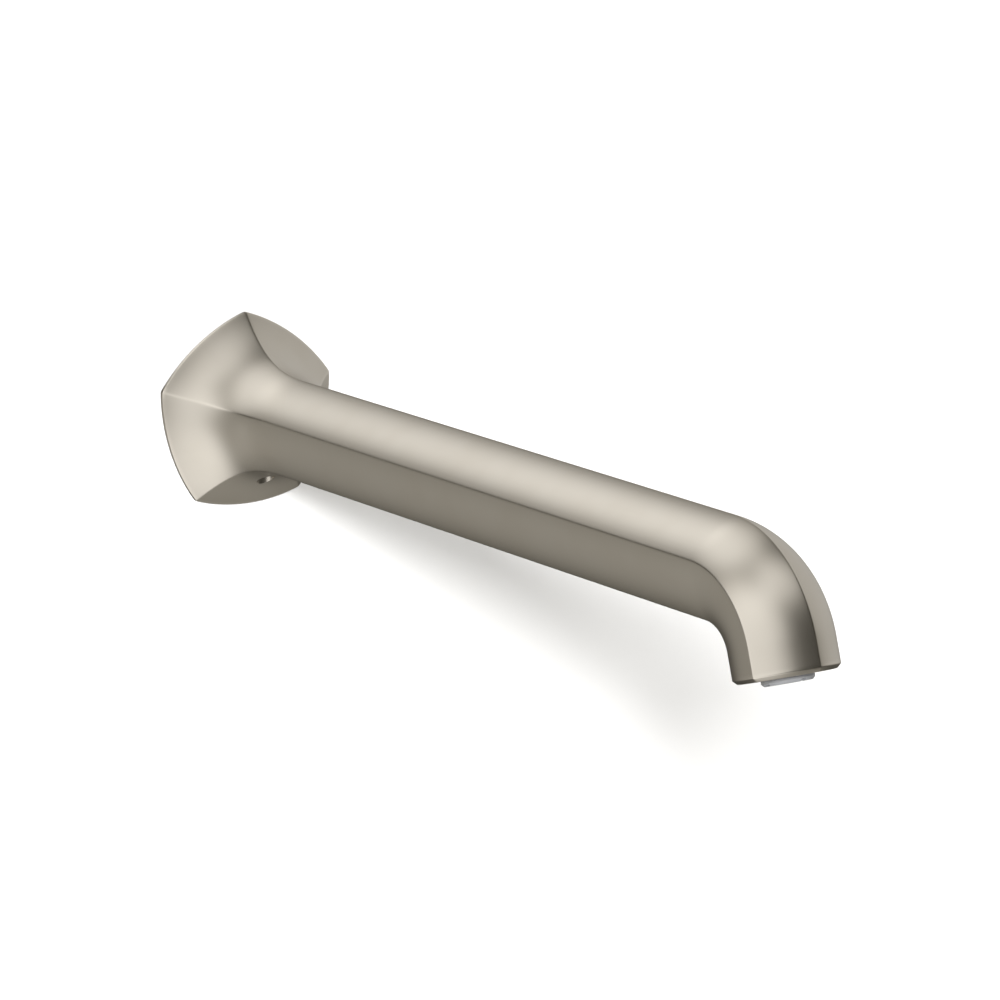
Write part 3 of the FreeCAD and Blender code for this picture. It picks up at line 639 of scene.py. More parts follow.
AXIS_INPUTS = {"Origin": Vector, "Along": Vector, "Up": Vector, "Across": Vector}
SUPPLY = Axis(Vector((0, 0, 0)), Vector((0, -1, 0)), Vector((0, 0, 1)))
OUTLET_DOWN = Vector(joint("aerator_turn")["axis"]).normalized()
OUTLET = Axis(Vector(joint("aerator_turn")["pos_m"]), -OUTLET_DOWN, -OUTLET_DOWN.cross(Vector((1, 0, 0))))
SCREW_POINT = Vector(joint("screw_turn")["pos_m"])
SCREW = Axis(Vector((SCREW_POINT.x, SCREW_POINT.y, 0)), Vector((0, 0, -1)), Vector((0, 1, 0)))


class TurnedWork(ShapeTree):
    """Round pieces from a lathe, with threads and hexagons where the layers ask for them."""

    FLANK = 1.5  # how steep a thread's flanks are; 1 would leave no flat on its crest or in its root

    def __init__(self) -> None:
        """Builds the tree: radius from the layers, thread and hexagon, then the place on the axis."""
        super().__init__("turned_work", {**AXIS_INPUTS, "Pitch": MM, "Depth": 0.0})
        turn, height, reach = self.layer("turn"), self.layer("along"), self.layer("reach")
        pitch, depth = self.given.out("Pitch"), self.given.out("Depth")
        ridge = abs((height / pitch - turn / FULL_TURN).part() * 2 - 1)
        groove = 1 - (ridge * self.FLANK - (self.FLANK - 1) / 2).most(0.0).least(1.0)
        radius = reach - self.layer("cut") * depth * groove
        sixth = FULL_TURN / 6
        flat = 1 / ((turn / sixth).part() * sixth - sixth / 2).cos()
        radius = radius * (1 + self.layer("flats") * (flat - 1))
        place = self.given.out("Origin") + self.given.out("Along") * height
        place = place + self.given.out("Across") * (radius * turn.sin())
        place = place + self.given.out("Up") * (radius * turn.cos())
        self.finish(self.place(self.given, place))

    def piece(self, name: str, corners: Sequence[Corner], axis: Axis, finish: bpy.types.Material,
              columns: int = 96, looped: bool = True, slots: Slots | None = None, pitch: float = MM,
              depth: float = 0.0) -> bpy.types.Object:
        """Turns one piece.

        Args:
            name: the piece's name.
            corners: its outline, heights and radii.
            axis: where it stands.
            finish: its material.
            columns: how many points go round.
            looped: whether the outline closes on itself.
            slots: slots in its low end.
            pitch: thread pitch.
            depth: thread depth, negative for a thread in a bore.

        Returns:
            The piece, plain and polished.
        """
        mesh = weave(name, rounded(corners, looped), columns, looped, slots)
        return polish(self.shape(name, mesh, finish, **axis.inputs(), pitch=pitch, depth=depth))


class FiveSidedSweep(ShapeTree):
    """The spout's own form: a five-sided section with bowed sides, carried along the tube and its bend."""

    def __init__(self) -> None:
        """Builds the tree: the section's radius at each angle, then its place along the path."""
        super().__init__(
            "five_sided_sweep",
            {"Straight Length": 0.28, "Bend Radius": 0.025, "Bend Angle": 1.26,
             "Side Bulge": 0.08, "Crease": 0.012},
        )
        turn, reach, plain = self.layer("turn"), self.layer("reach"), self.layer("round")
        bulge, half = self.given.out("Side Bulge"), SIDE_ANGLE / 2
        off_middle = abs((turn / SIDE_ANGLE).part() * SIDE_ANGLE - half)
        from_corner = half - off_middle
        off_middle = half - (from_corner * from_corner + self.given.out("Crease") ** 2).root()
        bow = math.sin(half) * (0.25 + bulge * bulge) / bulge
        back = bow - (math.cos(half) + 2 * math.sin(half) * bulge)
        across = back * off_middle.sin()
        sided = (bow * bow - across * across).root() - back * off_middle.cos()
        radius = reach * (sided * (1 - plain) + plain)

        station, start = self.layer("along"), self.given.out("Straight Length")
        bend, full = self.given.out("Bend Radius"), self.given.out("Bend Angle")
        angle = ((station - start) / bend).most(0.0).least(full)
        first = station.least(start)
        last = (station - start - bend * full).most(0.0)
        out = first + bend * angle.sin() + last * angle.cos()
        down = bend * (1 - angle.cos()) + last * angle.sin()
        high = radius * turn.cos()
        place = self.vector(radius * turn.sin(), -out - high * angle.sin(), high * angle.cos() - down)
        self.finish(self.place(self.given, place))


class Honeycomb(ShapeTree):
    """A disc drilled with a honeycomb: one six-sided cutter repeated on a staggered grid."""

    ROWS = 11  # of the grid, an odd number, so that a cell stands in the middle

    def __init__(self) -> None:
        """Builds the tree: the disc, the cutters taken from it, and the place on the axis."""
        super().__init__("honeycomb", {**AXIS_INPUTS, "Pitch": MM, "Wall": MM, "Reach": MM, "Height": MM})
        turn, reach = self.layer("turn"), self.layer("reach")
        local = self.vector(reach * turn.sin(), reach * turn.cos(), self.layer("along"))
        disc = self.node("GeometryNodeSetPosition", sockets={"Geometry": self.given, "Position": local})
        bored = self.node(
            "GeometryNodeMeshBoolean",
            {"operation": "DIFFERENCE"},
            {"Mesh 1": disc, "Mesh 2": self.cutters()},
        )
        x, y, z = self.node("GeometryNodeInputPosition").split()
        place = self.given.out("Origin") + self.given.out("Across") * x
        place = place + self.given.out("Up") * y + self.given.out("Along") * z
        self.finish(self.node("GeometryNodeSetPosition", sockets={"Geometry": bored, "Position": place}))

    def cutters(self) -> Flow:
        """The cutters that stand inside the reach.

        Returns:
            Their geometry, realized.
        """
        pitch, row_gap = self.given.out("Pitch"), math.cos(math.pi / 6)
        size = pitch * (self.ROWS - 1)
        sockets = {
            "Size X": size, "Size Y": size * row_gap,
            "Vertices X": self.ROWS, "Vertices Y": self.ROWS,
        }
        grid = self.node("GeometryNodeMeshGrid", sockets=sockets)
        x, y, _ = self.node("GeometryNodeInputPosition").split()
        row = (y / (pitch * row_gap) + 0.5).floor()
        shift = ((row * 0.5 + 0.25).part() - 0.25) * pitch
        staggered = self.node(
            "GeometryNodeSetPosition", sockets={"Geometry": grid, "Position": self.vector(x + shift, y, 0.0)}
        )
        x, y, _ = self.node("GeometryNodeInputPosition").split()
        outside = (x * x + y * y).root().above(self.given.out("Reach"))
        kept = self.node("GeometryNodeDeleteGeometry", sockets={"Geometry": staggered, "Selection": outside})
        radius = (pitch - self.given.out("Wall")) / (2 * row_gap)
        cutter = self.node(
            "GeometryNodeMeshCylinder",
            sockets={"Vertices": 6, "Radius": radius, "Depth": self.given.out("Height")},
        )
        repeated = self.node(
            "GeometryNodeInstanceOnPoints",
            sockets={"Points": kept, "Instance": cutter, "Rotation": (0.0, 0.0, math.pi / 6)},
        )
        return self.node("GeometryNodeRealizeInstances", sockets={"Geometry": repeated})


# ---------------------------------------------------------------- finishes


class Slot(Enum):
    """The record's material slots."""

    SATIN_NICKEL = "satin_nickel"
    RAW_BRASS = "raw_brass"
    COPPER = "copper"
    STAINLESS = "stainless"
    BLACK_RUBBER = "black_rubber"
    DARK_FOAM = "dark_foam"
    GREY_PLASTIC = "grey_plastic"
    WHITE_PLASTIC = "white_plastic"


class Grain(Enum):
    """Which way a metal's working marks run."""

    ALONG = "along the sweep"
    ROUND = "round the lathe"
    NONE = "none"


@dataclass(frozen=True)
class Finish:
    """A finish: its slot, and the values that its shader is built from."""

    slot: Slot
    tint: tuple[float, float, float]
    roughness: float

    def build(self) -> bpy.types.Material:
        """Makes the material.

        Returns:
            The material, named after its slot.
        """
        made = bpy.data.materials.new(self.slot.value)
        made.use_nodes = True
        tree = Tree(made.node_tree)
        shader = self.shade(tree)
        tree.node("ShaderNodeOutputMaterial", sockets={"Surface": shader})
        return made

    def shade(self, tree: Tree) -> Flow:
        """The finish's own shader."""
        raise NotImplementedError

    def surface(self, tree: Tree, settings: dict[str, Term], relief: Term, height: float) -> Flow:
        """A Principled shader with a bump.

        Args:
            tree: the material's tree.
            settings: the shader's sockets.
            relief: the height that the bump follows, from 0 to 1.
            height: how high 1 stands, in metres.

        Returns:
            The shader's output.
        """
        bump = tree.node("ShaderNodeBump", sockets={"Strength": 1.0, "Distance": height, "Height": relief})
        return tree.node("ShaderNodeBsdfPrincipled", sockets={**settings, "Normal": bump})

    def here(self, tree: Tree) -> Flow:
        """The piece's own coordinates."""
        return tree.node("ShaderNodeTexCoord").out("Object")


@dataclass(frozen=True)
class Metal(Finish):
    """A worked metal: fine marks one way, soft clouds of colour, and a painted highlight that lightens its
    edges.

    Attributes:
        grain: which way the marks run.
        marks: how many marks across the map.
        relief: the marks' height in metres.
        clouds: the colour that the clouds lean to.
        cloud_size: clouds per metre.
        scatter: how much the roughness wanders.
    """

    grain: Grain = Grain.NONE
    marks: float = 400.0
    relief: float = 0.002 * MM
    clouds: tuple[float, float, float] = (0.5, 0.5, 0.5)
    cloud_size: float = 60.0
    scatter: float = 0.05

    STRETCH = 0.04  # a mark's width as a share of its length, along the sweep
    ROUND_BREAKS = 3.0  # how often a lathe's mark fades, once round
    DETAIL = 4.0
    SPECKS = 2600.0  # per metre
    MARK_SHARE = 0.7  # of the relief; the specks have the rest
    EDGE_HIGHLIGHT_GAIN = 1.12  # painted highlight: how much lighter the base colour is at an edge
    EDGE_SHINE = 0.04  # how much less rough

    def shade(self, tree: Tree) -> Flow:
        """Marks from the sweep's map or the piece's own space, clouds from its own space, and a painted
        highlight at the edges.

        Args:
            tree: the material's tree.

        Returns:
            The shader's output.
        """
        here = self.here(tree)
        u, v, _ = tree.node("ShaderNodeUVMap", {"uv_map": UV_NAME}).split()
        if self.grain is Grain.ALONG:
            spot = tree.vector(u * self.marks, v * self.marks * self.STRETCH, 0.0)
            lines = tree.noise(spot, 1.0, self.DETAIL)
        elif self.grain is Grain.ROUND:
            lines = tree.noise(tree.vector(u * self.ROUND_BREAKS, v * self.marks, 0.0), 1.0, self.DETAIL)
        else:
            lines = tree.noise(here, self.marks, self.DETAIL)
        cloud = tree.noise(here, self.cloud_size, 2.0)
        speck = tree.noise(here, self.SPECKS, 2.0)
        edge = tree.node("ShaderNodeAttribute", {"attribute_name": EDGE_LAYER}).out("Fac")
        # painted highlight: the colour is lightened where the edge layer is high, at fillets and along the
        # spout's creases
        highlight_tint = tuple(min(1.0, part * self.EDGE_HIGHLIGHT_GAIN) for part in self.tint)
        colour = tree.tint(cloud.rise(0.38, 0.72) * 0.5, self.tint, self.clouds)
        colour = tree.tint(edge * 0.5, colour, highlight_tint)
        rough = self.roughness + (lines - 0.5) * self.scatter + (cloud - 0.5) * self.scatter
        settings = {"Base Color": colour, "Metallic": 1.0, "Roughness": rough - edge * self.EDGE_SHINE}
        relief = lines * self.MARK_SHARE + speck * (1 - self.MARK_SHARE)
        return self.surface(tree, settings, relief, self.relief)


@dataclass(frozen=True)
class Rubber(Finish):
    """Moulded rubber or foam: a matt skin with a fine, uneven surface.

    Attributes:
        cell: size of its grain, per metre.
        depth: the grain's height in metres.
    """

    cell: float = 1800.0
    depth: float = 0.01 * MM

    DUST_GAIN = 1.8  # how much lighter dust makes it
    DUST = 0.01  # and what it adds even to black

    def shade(self, tree: Tree) -> Flow:
        """Cells for the relief, and dust that settles between them.

        Args:
            tree: the material's tree.

        Returns:
            The shader's output.
        """
        here = self.here(tree)
        cells = tree.node("ShaderNodeTexVoronoi", {"feature": "F1"}, {"Vector": here, "Scale": self.cell})
        cloud = tree.noise(here, 300.0)
        dusty = tuple(part * self.DUST_GAIN + self.DUST for part in self.tint)
        colour = tree.tint(cloud.rise(0.4, 0.75) * 0.6 + cells * 0.2, self.tint, dusty)
        settings = {"Base Color": colour, "Roughness": self.roughness + (cloud - 0.5) * 0.12}
        return self.surface(tree, settings, cells * 0.6 + cloud * 0.4, self.depth)


@dataclass(frozen=True)
class Plastic(Finish):
    """Moulded acetal: an even colour with a fine spark-worn skin and slightly shinier edges."""

    SKIN_HEIGHT = 0.004 * MM
    EDGE_SHINE = 0.08  # how much less rough an edge is

    def shade(self, tree: Tree) -> Flow:
        """A fine skin, and faint flow clouds in the colour.

        Args:
            tree: the material's tree.

        Returns:
            The shader's output.
        """
        here = self.here(tree)
        skin = tree.noise(here, 4200.0, 2.0)
        cloud = tree.noise(here, 180.0)
        edge = tree.node("ShaderNodeAttribute", {"attribute_name": EDGE_LAYER}).out("Fac")
        dark = tuple(part * 0.9 for part in self.tint)
        colour = tree.tint(cloud.rise(0.35, 0.7), dark, self.tint)
        rough = self.roughness + (skin - 0.5) * 0.1 - edge * self.EDGE_SHINE
        settings = {"Base Color": colour, "Roughness": rough, "IOR": 1.48}
        return self.surface(tree, settings, skin * 0.8 + cloud * 0.2, self.SKIN_HEIGHT)


FINISHES = (
    Metal(
        Slot.SATIN_NICKEL, (0.66, 0.615, 0.54), 0.34, grain=Grain.ALONG, marks=520.0, relief=0.0011 * MM,
        clouds=(0.63, 0.58, 0.50), cloud_size=45.0, scatter=0.05,
    ),
    Metal(
        Slot.RAW_BRASS, (0.80, 0.60, 0.27), 0.26, grain=Grain.ROUND, marks=420.0, relief=0.002 * MM,
        clouds=(0.66, 0.46, 0.2), cloud_size=160.0, scatter=0.1,
    ),
    Metal(
        Slot.COPPER, (0.80, 0.42, 0.29), 0.30, grain=Grain.NONE, marks=900.0, relief=0.002 * MM,
        clouds=(0.52, 0.24, 0.16), cloud_size=90.0, scatter=0.14,
    ),
    Metal(
        Slot.STAINLESS, (0.60, 0.60, 0.60), 0.24, grain=Grain.NONE, marks=1500.0, relief=0.001 * MM,
        clouds=(0.5, 0.5, 0.51), cloud_size=240.0, scatter=0.08,
    ),
    Rubber(Slot.BLACK_RUBBER, (0.018, 0.018, 0.019), 0.55),
    Rubber(Slot.DARK_FOAM, (0.045, 0.045, 0.047), 0.9, 2600.0, 0.05 * MM),
    Plastic(Slot.GREY_PLASTIC, (0.22, 0.225, 0.235), 0.42),
    Plastic(Slot.WHITE_PLASTIC, (0.80, 0.80, 0.77), 0.40),
)


@dataclass
class Workshop:
    """What every sub-assembly uses: the shape trees and the finishes."""

    turned: TurnedWork
    sided: FiveSidedSweep
    comb: Honeycomb
    finishes: dict[Slot, bpy.types.Material]

    def stand_in(self, piece: bpy.types.Object, body: str, slot: Slot, *nodes: str) -> None:
        """Puts a finished piece in the place of its CAD nodes.

        Args:
            piece: the piece.
            body: the body that it rides on.
            slot: its material slot; not used.
            nodes: the CAD nodes that it stands for.
        """
        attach(piece, body)
        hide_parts(*nodes)
        faces = len(piece.data.polygons)
        log.info("%s stands for %s on %s, %d faces", piece.name, ", ".join(nodes), body, faces)

    def seal(self, node: str, body: str, axis: Axis, height: float, radius: float, cord: float) -> None:
        """Makes one O-ring, with the fine line that its mould leaves.

        Args:
            node: the CAD node that it stands for.
            body: the body that it rides on.
            axis: the axis that it goes round.
            height: its place along the axis.
            radius: from the axis to the middle of its cord.
            cord: half its cord's thickness.
        """
        corners = []
        for step in range(SEAL_POINTS):
            turn = FULL_TURN * step / SEAL_POINTS
            thick = cord + (MOULD_FLASH if step in (0, SEAL_POINTS // 2) else 0.0)
            corners.append(Corner(height + thick * math.sin(turn), radius + thick * math.cos(turn)))
        rubber = self.finishes[Slot.BLACK_RUBBER]
        piece = self.turned.piece(node + "_moulded", corners, axis, rubber, columns=SEAL_COLUMNS)
        self.stand_in(piece, body, Slot.BLACK_RUBBER, node)

    def dress(self, node: str, slot: Slot) -> None:
        """Gives a CAD node that keeps its shape its own finish.

        Args:
            node: the node's name.
            slot: its material slot.
        """
        thing = frame["nodes"][node]
        thing.data.materials.clear()
        thing.data.materials.append(self.finishes[slot])
        log.info("%s keeps its shape, in %s", node, slot.value)


# ---------------------------------------------------------------- the spout


@dataclass
class SpoutCasting:
    """The cast spout: flange, flare, tube, bend and outlet, hollow, with its hub and set-screw boss."""

    shop: Workshop
    flange_radius: float = field(default_factory=lambda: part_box("spout_body")[1].z)
    rim_start: float = field(default_factory=lambda: -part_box("spout_body")[1].y)
    rim_thick: float = 1.3 * MM
    flange_wall: float = 4.2 * MM
    flare_length: float = 40.2 * MM
    flare_power: float = 3.0
    tube_radius: float = 17.1 * MM
    cavity_radius: float = 14.44 * MM
    side_bulge: float = 0.08
    crease: float = 0.012
    bend_radius: float = 25.2 * MM
    end_length: float = 9.5 * MM
    chamfer: float = 1.3 * MM
    side_middle: float = 0.903
    lip_radius: float = 12.25 * MM
    lip_depth: float = 1.2 * MM
    bore_radius: float = 11.05 * MM
    hub_start: float = 6.0 * MM
    hub_radius: float = 16.18 * MM
    pocket_end: float = 17.0 * MM
    collar_bore: float = 13.58 * MM
    ring_start: float = 18.6 * MM
    ring_groove: float = 14.48 * MM
    socket_start: float = 19.8 * MM
    socket_bore: float = 13.39 * MM
    socket_end: float = 44.0 * MM
    shoulder: float = 49.5 * MM
    nose_bore: float = 10.95 * MM
    boss_width: float = 10.4 * MM
    screw_hole: float = 3.08 * MM
    hole_columns: int = 64
    gasket_width: float = 3.4 * MM
    gasket_soft: float = 0.15 * MM
    edge_soft: float = 0.3 * MM
    # width of the painted highlight along the five creases
    crease_highlight_width: float = 0.45 * MM
    flare_rings: int = 49
    bend_rings: int = 40
    tube_parts: int = 40
    end_parts: int = 6
    inner_rings: int = 16

    @property
    def bend_angle(self) -> float:
        """How far the tube turns down, from the outlet's axis."""
        return math.atan2(-OUTLET_DOWN.z, -OUTLET_DOWN.y)

    @property
    def straight_length(self) -> float:
        """Wall to the start of the bend, from where the outlet is."""
        turn = self.bend_angle
        return -OUTLET.origin.y - self.bend_radius * math.sin(turn) - self.end_length * math.cos(turn)

    @property
    def outlet_station(self) -> float:
        """Length of the path from the wall to the outlet face."""
        return self.straight_length + self.bend_radius * self.bend_angle + self.end_length

    def flared(self, station: float, tube: float, flange: float) -> float:
        """A radius that narrows from the flange's to the tube's."""
        left = 1 - (station - self.rim_start - self.rim_thick) / self.flare_length
        return tube + (flange - tube) * max(0.0, left) ** self.flare_power

    def outside(self) -> list[Corner]:
        """The outline from the flange's rear face to the edge of the outlet's face.

        Returns:
            Its corners, along the path.
        """
        rim, bend_start = self.rim_start + self.rim_thick, self.straight_length
        bend_end = bend_start + self.bend_radius * self.bend_angle
        face = self.outlet_station
        corners = [
            sided(self.rim_start, self.flange_radius - self.flange_wall, self.edge_soft),
            sided(self.rim_start, self.flange_radius, self.edge_soft),
            sided(rim, self.flange_radius, self.edge_soft * 0.8),
        ]
        for station in np.linspace(rim, rim + self.flare_length, self.flare_rings)[1:]:
            corners.append(sided(station, self.flared(station, self.tube_radius, self.flange_radius)))
        corners[-1] = replace(corners[-1], steps=self.tube_parts)
        for station in np.linspace(bend_start, bend_end, self.bend_rings):
            corners.append(sided(station, self.tube_radius))
        corners[-1] = replace(corners[-1], steps=self.end_parts)
        corners += [
            sided(face - self.chamfer, self.tube_radius, self.edge_soft),
            sided(face, self.tube_radius - self.chamfer / self.side_middle, self.edge_soft),
        ]
        return corners

    def inside(self) -> list[Corner]:
        """The outline from the outlet's bore back through the cavity and the hub to the flange.

        Returns:
            Its corners, against the path.
        """
        face, wall = self.outlet_station, self.cavity_radius
        bore_end = face - self.end_length
        bend_start = self.straight_length
        corners = [
            Corner(face, self.lip_radius, self.edge_soft * 0.5),
            Corner(face - self.lip_depth, self.lip_radius),
            Corner(face - self.lip_depth, self.bore_radius),
            Corner(bore_end, self.bore_radius),
        ]
        for station in np.linspace(bore_end - 0.01 * MM, bend_start, self.inner_rings):
            corners.append(sided(station, wall))
        corners += [
            sided(self.shoulder, wall),
            Corner(self.shoulder, self.nose_bore),
            Corner(self.socket_end, self.nose_bore),
            Corner(self.socket_end, self.socket_bore),
            Corner(self.socket_start, self.socket_bore),
            Corner(self.socket_start, self.ring_groove),
            Corner(self.ring_start, self.ring_groove),
            Corner(self.ring_start, self.collar_bore, self.edge_soft * 0.3),
            Corner(self.hub_start, self.collar_bore, self.edge_soft * 1.5),
            Corner(self.hub_start, self.hub_radius, self.edge_soft * 2),
            Corner(self.pocket_end, self.hub_radius),
        ]
        rim = self.rim_start + self.rim_thick
        for station in np.linspace(self.pocket_end, rim, self.inner_rings):
            corners.append(sided(station, self.flared(station, wall, self.flange_radius - self.flange_wall)))
        return corners

    def columns(self) -> list[float]:
        """Columns that crowd towards the five creases.

        Returns:
            Their angles.
        """
        half, gather, steps = SIDE_ANGLE / 2, 3.5, 20
        near = [half * math.sinh(gather * i / steps) / math.sinh(gather) for i in range(steps)]
        side = near + [half] + [SIDE_ANGLE - angle for angle in reversed(near[1:])]
        return [number * SIDE_ANGLE + angle for number in range(SIDES) for angle in side]

    def sweep(self, name: str, mesh: bpy.types.Mesh, slot: Slot) -> bpy.types.Object:
        """Carries a grid along the spout's own path.

        Args:
            name: the piece's name.
            mesh: the grid.
            slot: its material slot.

        Returns:
            The piece, plain but not yet polished.
        """
        return self.shop.sided.shape(
            name, mesh, self.shop.finishes[slot], straight_length=self.straight_length,
            bend_radius=self.bend_radius, bend_angle=self.bend_angle,
            side_bulge=self.side_bulge, crease=self.crease,
        )

    def build_casting(self) -> bpy.types.Object:
        """The whole casting in one closed skin, then its set-screw boss and hole.

        Returns:
            The piece, plain and polished.
        """
        rings = rounded(self.outside() + self.inside())
        columns = self.columns()
        mesh = weave("spout_casting", rings, columns)
        edge = np.zeros(len(mesh.vertices), np.float32)
        mesh.attributes[EDGE_LAYER].data.foreach_get("value", edge)
        edge = edge.reshape(len(rings), len(columns))
        # the edge layer also rises along the five creases, where the metal's colour gets a painted highlight
        corner = np.abs((np.array(columns) + SIDE_ANGLE / 2) % SIDE_ANGLE - SIDE_ANGLE / 2)
        for row, ring in enumerate(rings):
            near = np.exp(-((corner * ring.at.reach / self.crease_highlight_width) ** 2)) * (1 - ring.at.round)
            edge[row] = np.maximum(edge[row], near)
        mesh.attributes[EDGE_LAYER].data.foreach_set("value", edge.ravel())
        piece = self.sweep("spout_casting", mesh, Slot.SATIN_NICKEL)
        self.cut(piece, self.screw_boss(), "UNION")
        self.cut(piece, self.hole_cutter(), "DIFFERENCE")
        return polish(piece)

    def cut(self, piece: bpy.types.Object, tool: bpy.types.Object, operation: str) -> None:
        """Joins a tool to the piece or cuts it away, and removes the tool.

        Args:
            piece: the piece, which is changed.
            tool: the joining or cutting object.
            operation: the boolean modifier's own word for what is done.
        """
        modifier = piece.modifiers.new("cut", "BOOLEAN")
        modifier.operation, modifier.object, modifier.solver = operation, tool, "EXACT"
        settle(piece)
        bpy.data.objects.remove(tool)

    def screw_boss(self) -> bpy.types.Object:
        """The cast block between hub and flare that the set screw's thread is cut in.

        Returns:
            The block, which stands a little into both.
        """
        middle, half = -SCREW.origin.y, self.boss_width / 2
        top = -(self.collar_bore + self.hub_radius) / 2
        corners = []
        for station in (middle - half, middle + half):
            outer = self.flared(station, self.tube_radius, self.flange_radius)
            inner = self.flared(station, self.cavity_radius, self.flange_radius - self.flange_wall)
            for z in (top, -self.side_middle * (outer + inner) / 2):
                corners += [(-half, -station, z), (half, -station, z)]
        mesh = bpy.data.meshes.new("screw_boss")
        mesh.from_pydata(corners, [], BLOCK_FACES)
        mesh.materials.append(self.shop.finishes[Slot.SATIN_NICKEL])
        face_outwards(mesh)
        return link("screw_boss", mesh)

    def hole_cutter(self) -> bpy.types.Object:
        """A plain rod where the set screw's hole goes.

        Returns:
            The rod, longer than the hole at both ends.
        """
        start, end = self.collar_bore - MM, self.flange_radius * 0.75
        corners = [Corner(start, self.screw_hole), Corner(end, self.screw_hole)]
        rings = rounded(corners, looped=False)
        mesh = weave("screw_hole", rings, self.hole_columns, looped=False)
        metal = self.shop.finishes[Slot.SATIN_NICKEL]
        made = self.shop.turned.shape("screw_hole", mesh, metal, **SCREW.inputs())
        face_outwards(made.data)
        return made

    def build_gasket(self) -> bpy.types.Object:
        """The foam gasket between flange and wall, with soft edges.

        Returns:
            The piece, plain and polished.
        """
        outer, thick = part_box("wall_gasket")[1].z, -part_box("wall_gasket")[0].y
        width, soft = self.gasket_width, self.gasket_soft
        corners = [
            sided(0.0, outer - width, soft),
            sided(0.0, outer, soft),
            sided(thick, outer, soft),
            sided(thick, outer - width, soft),
        ]
        mesh = weave("foam_gasket", rounded(corners), self.columns())
        return polish(self.sweep("foam_gasket", mesh, Slot.DARK_FOAM))

    def build(self) -> None:
        """Builds, places and dresses the casting and its gasket."""
        shop = self.shop
        shop.stand_in(self.build_casting(), "spout", Slot.SATIN_NICKEL, "spout_body")
        shop.stand_in(self.build_gasket(), "spout", Slot.DARK_FOAM, "wall_gasket")
        shop.dress("retaining_ring", Slot.STAINLESS)


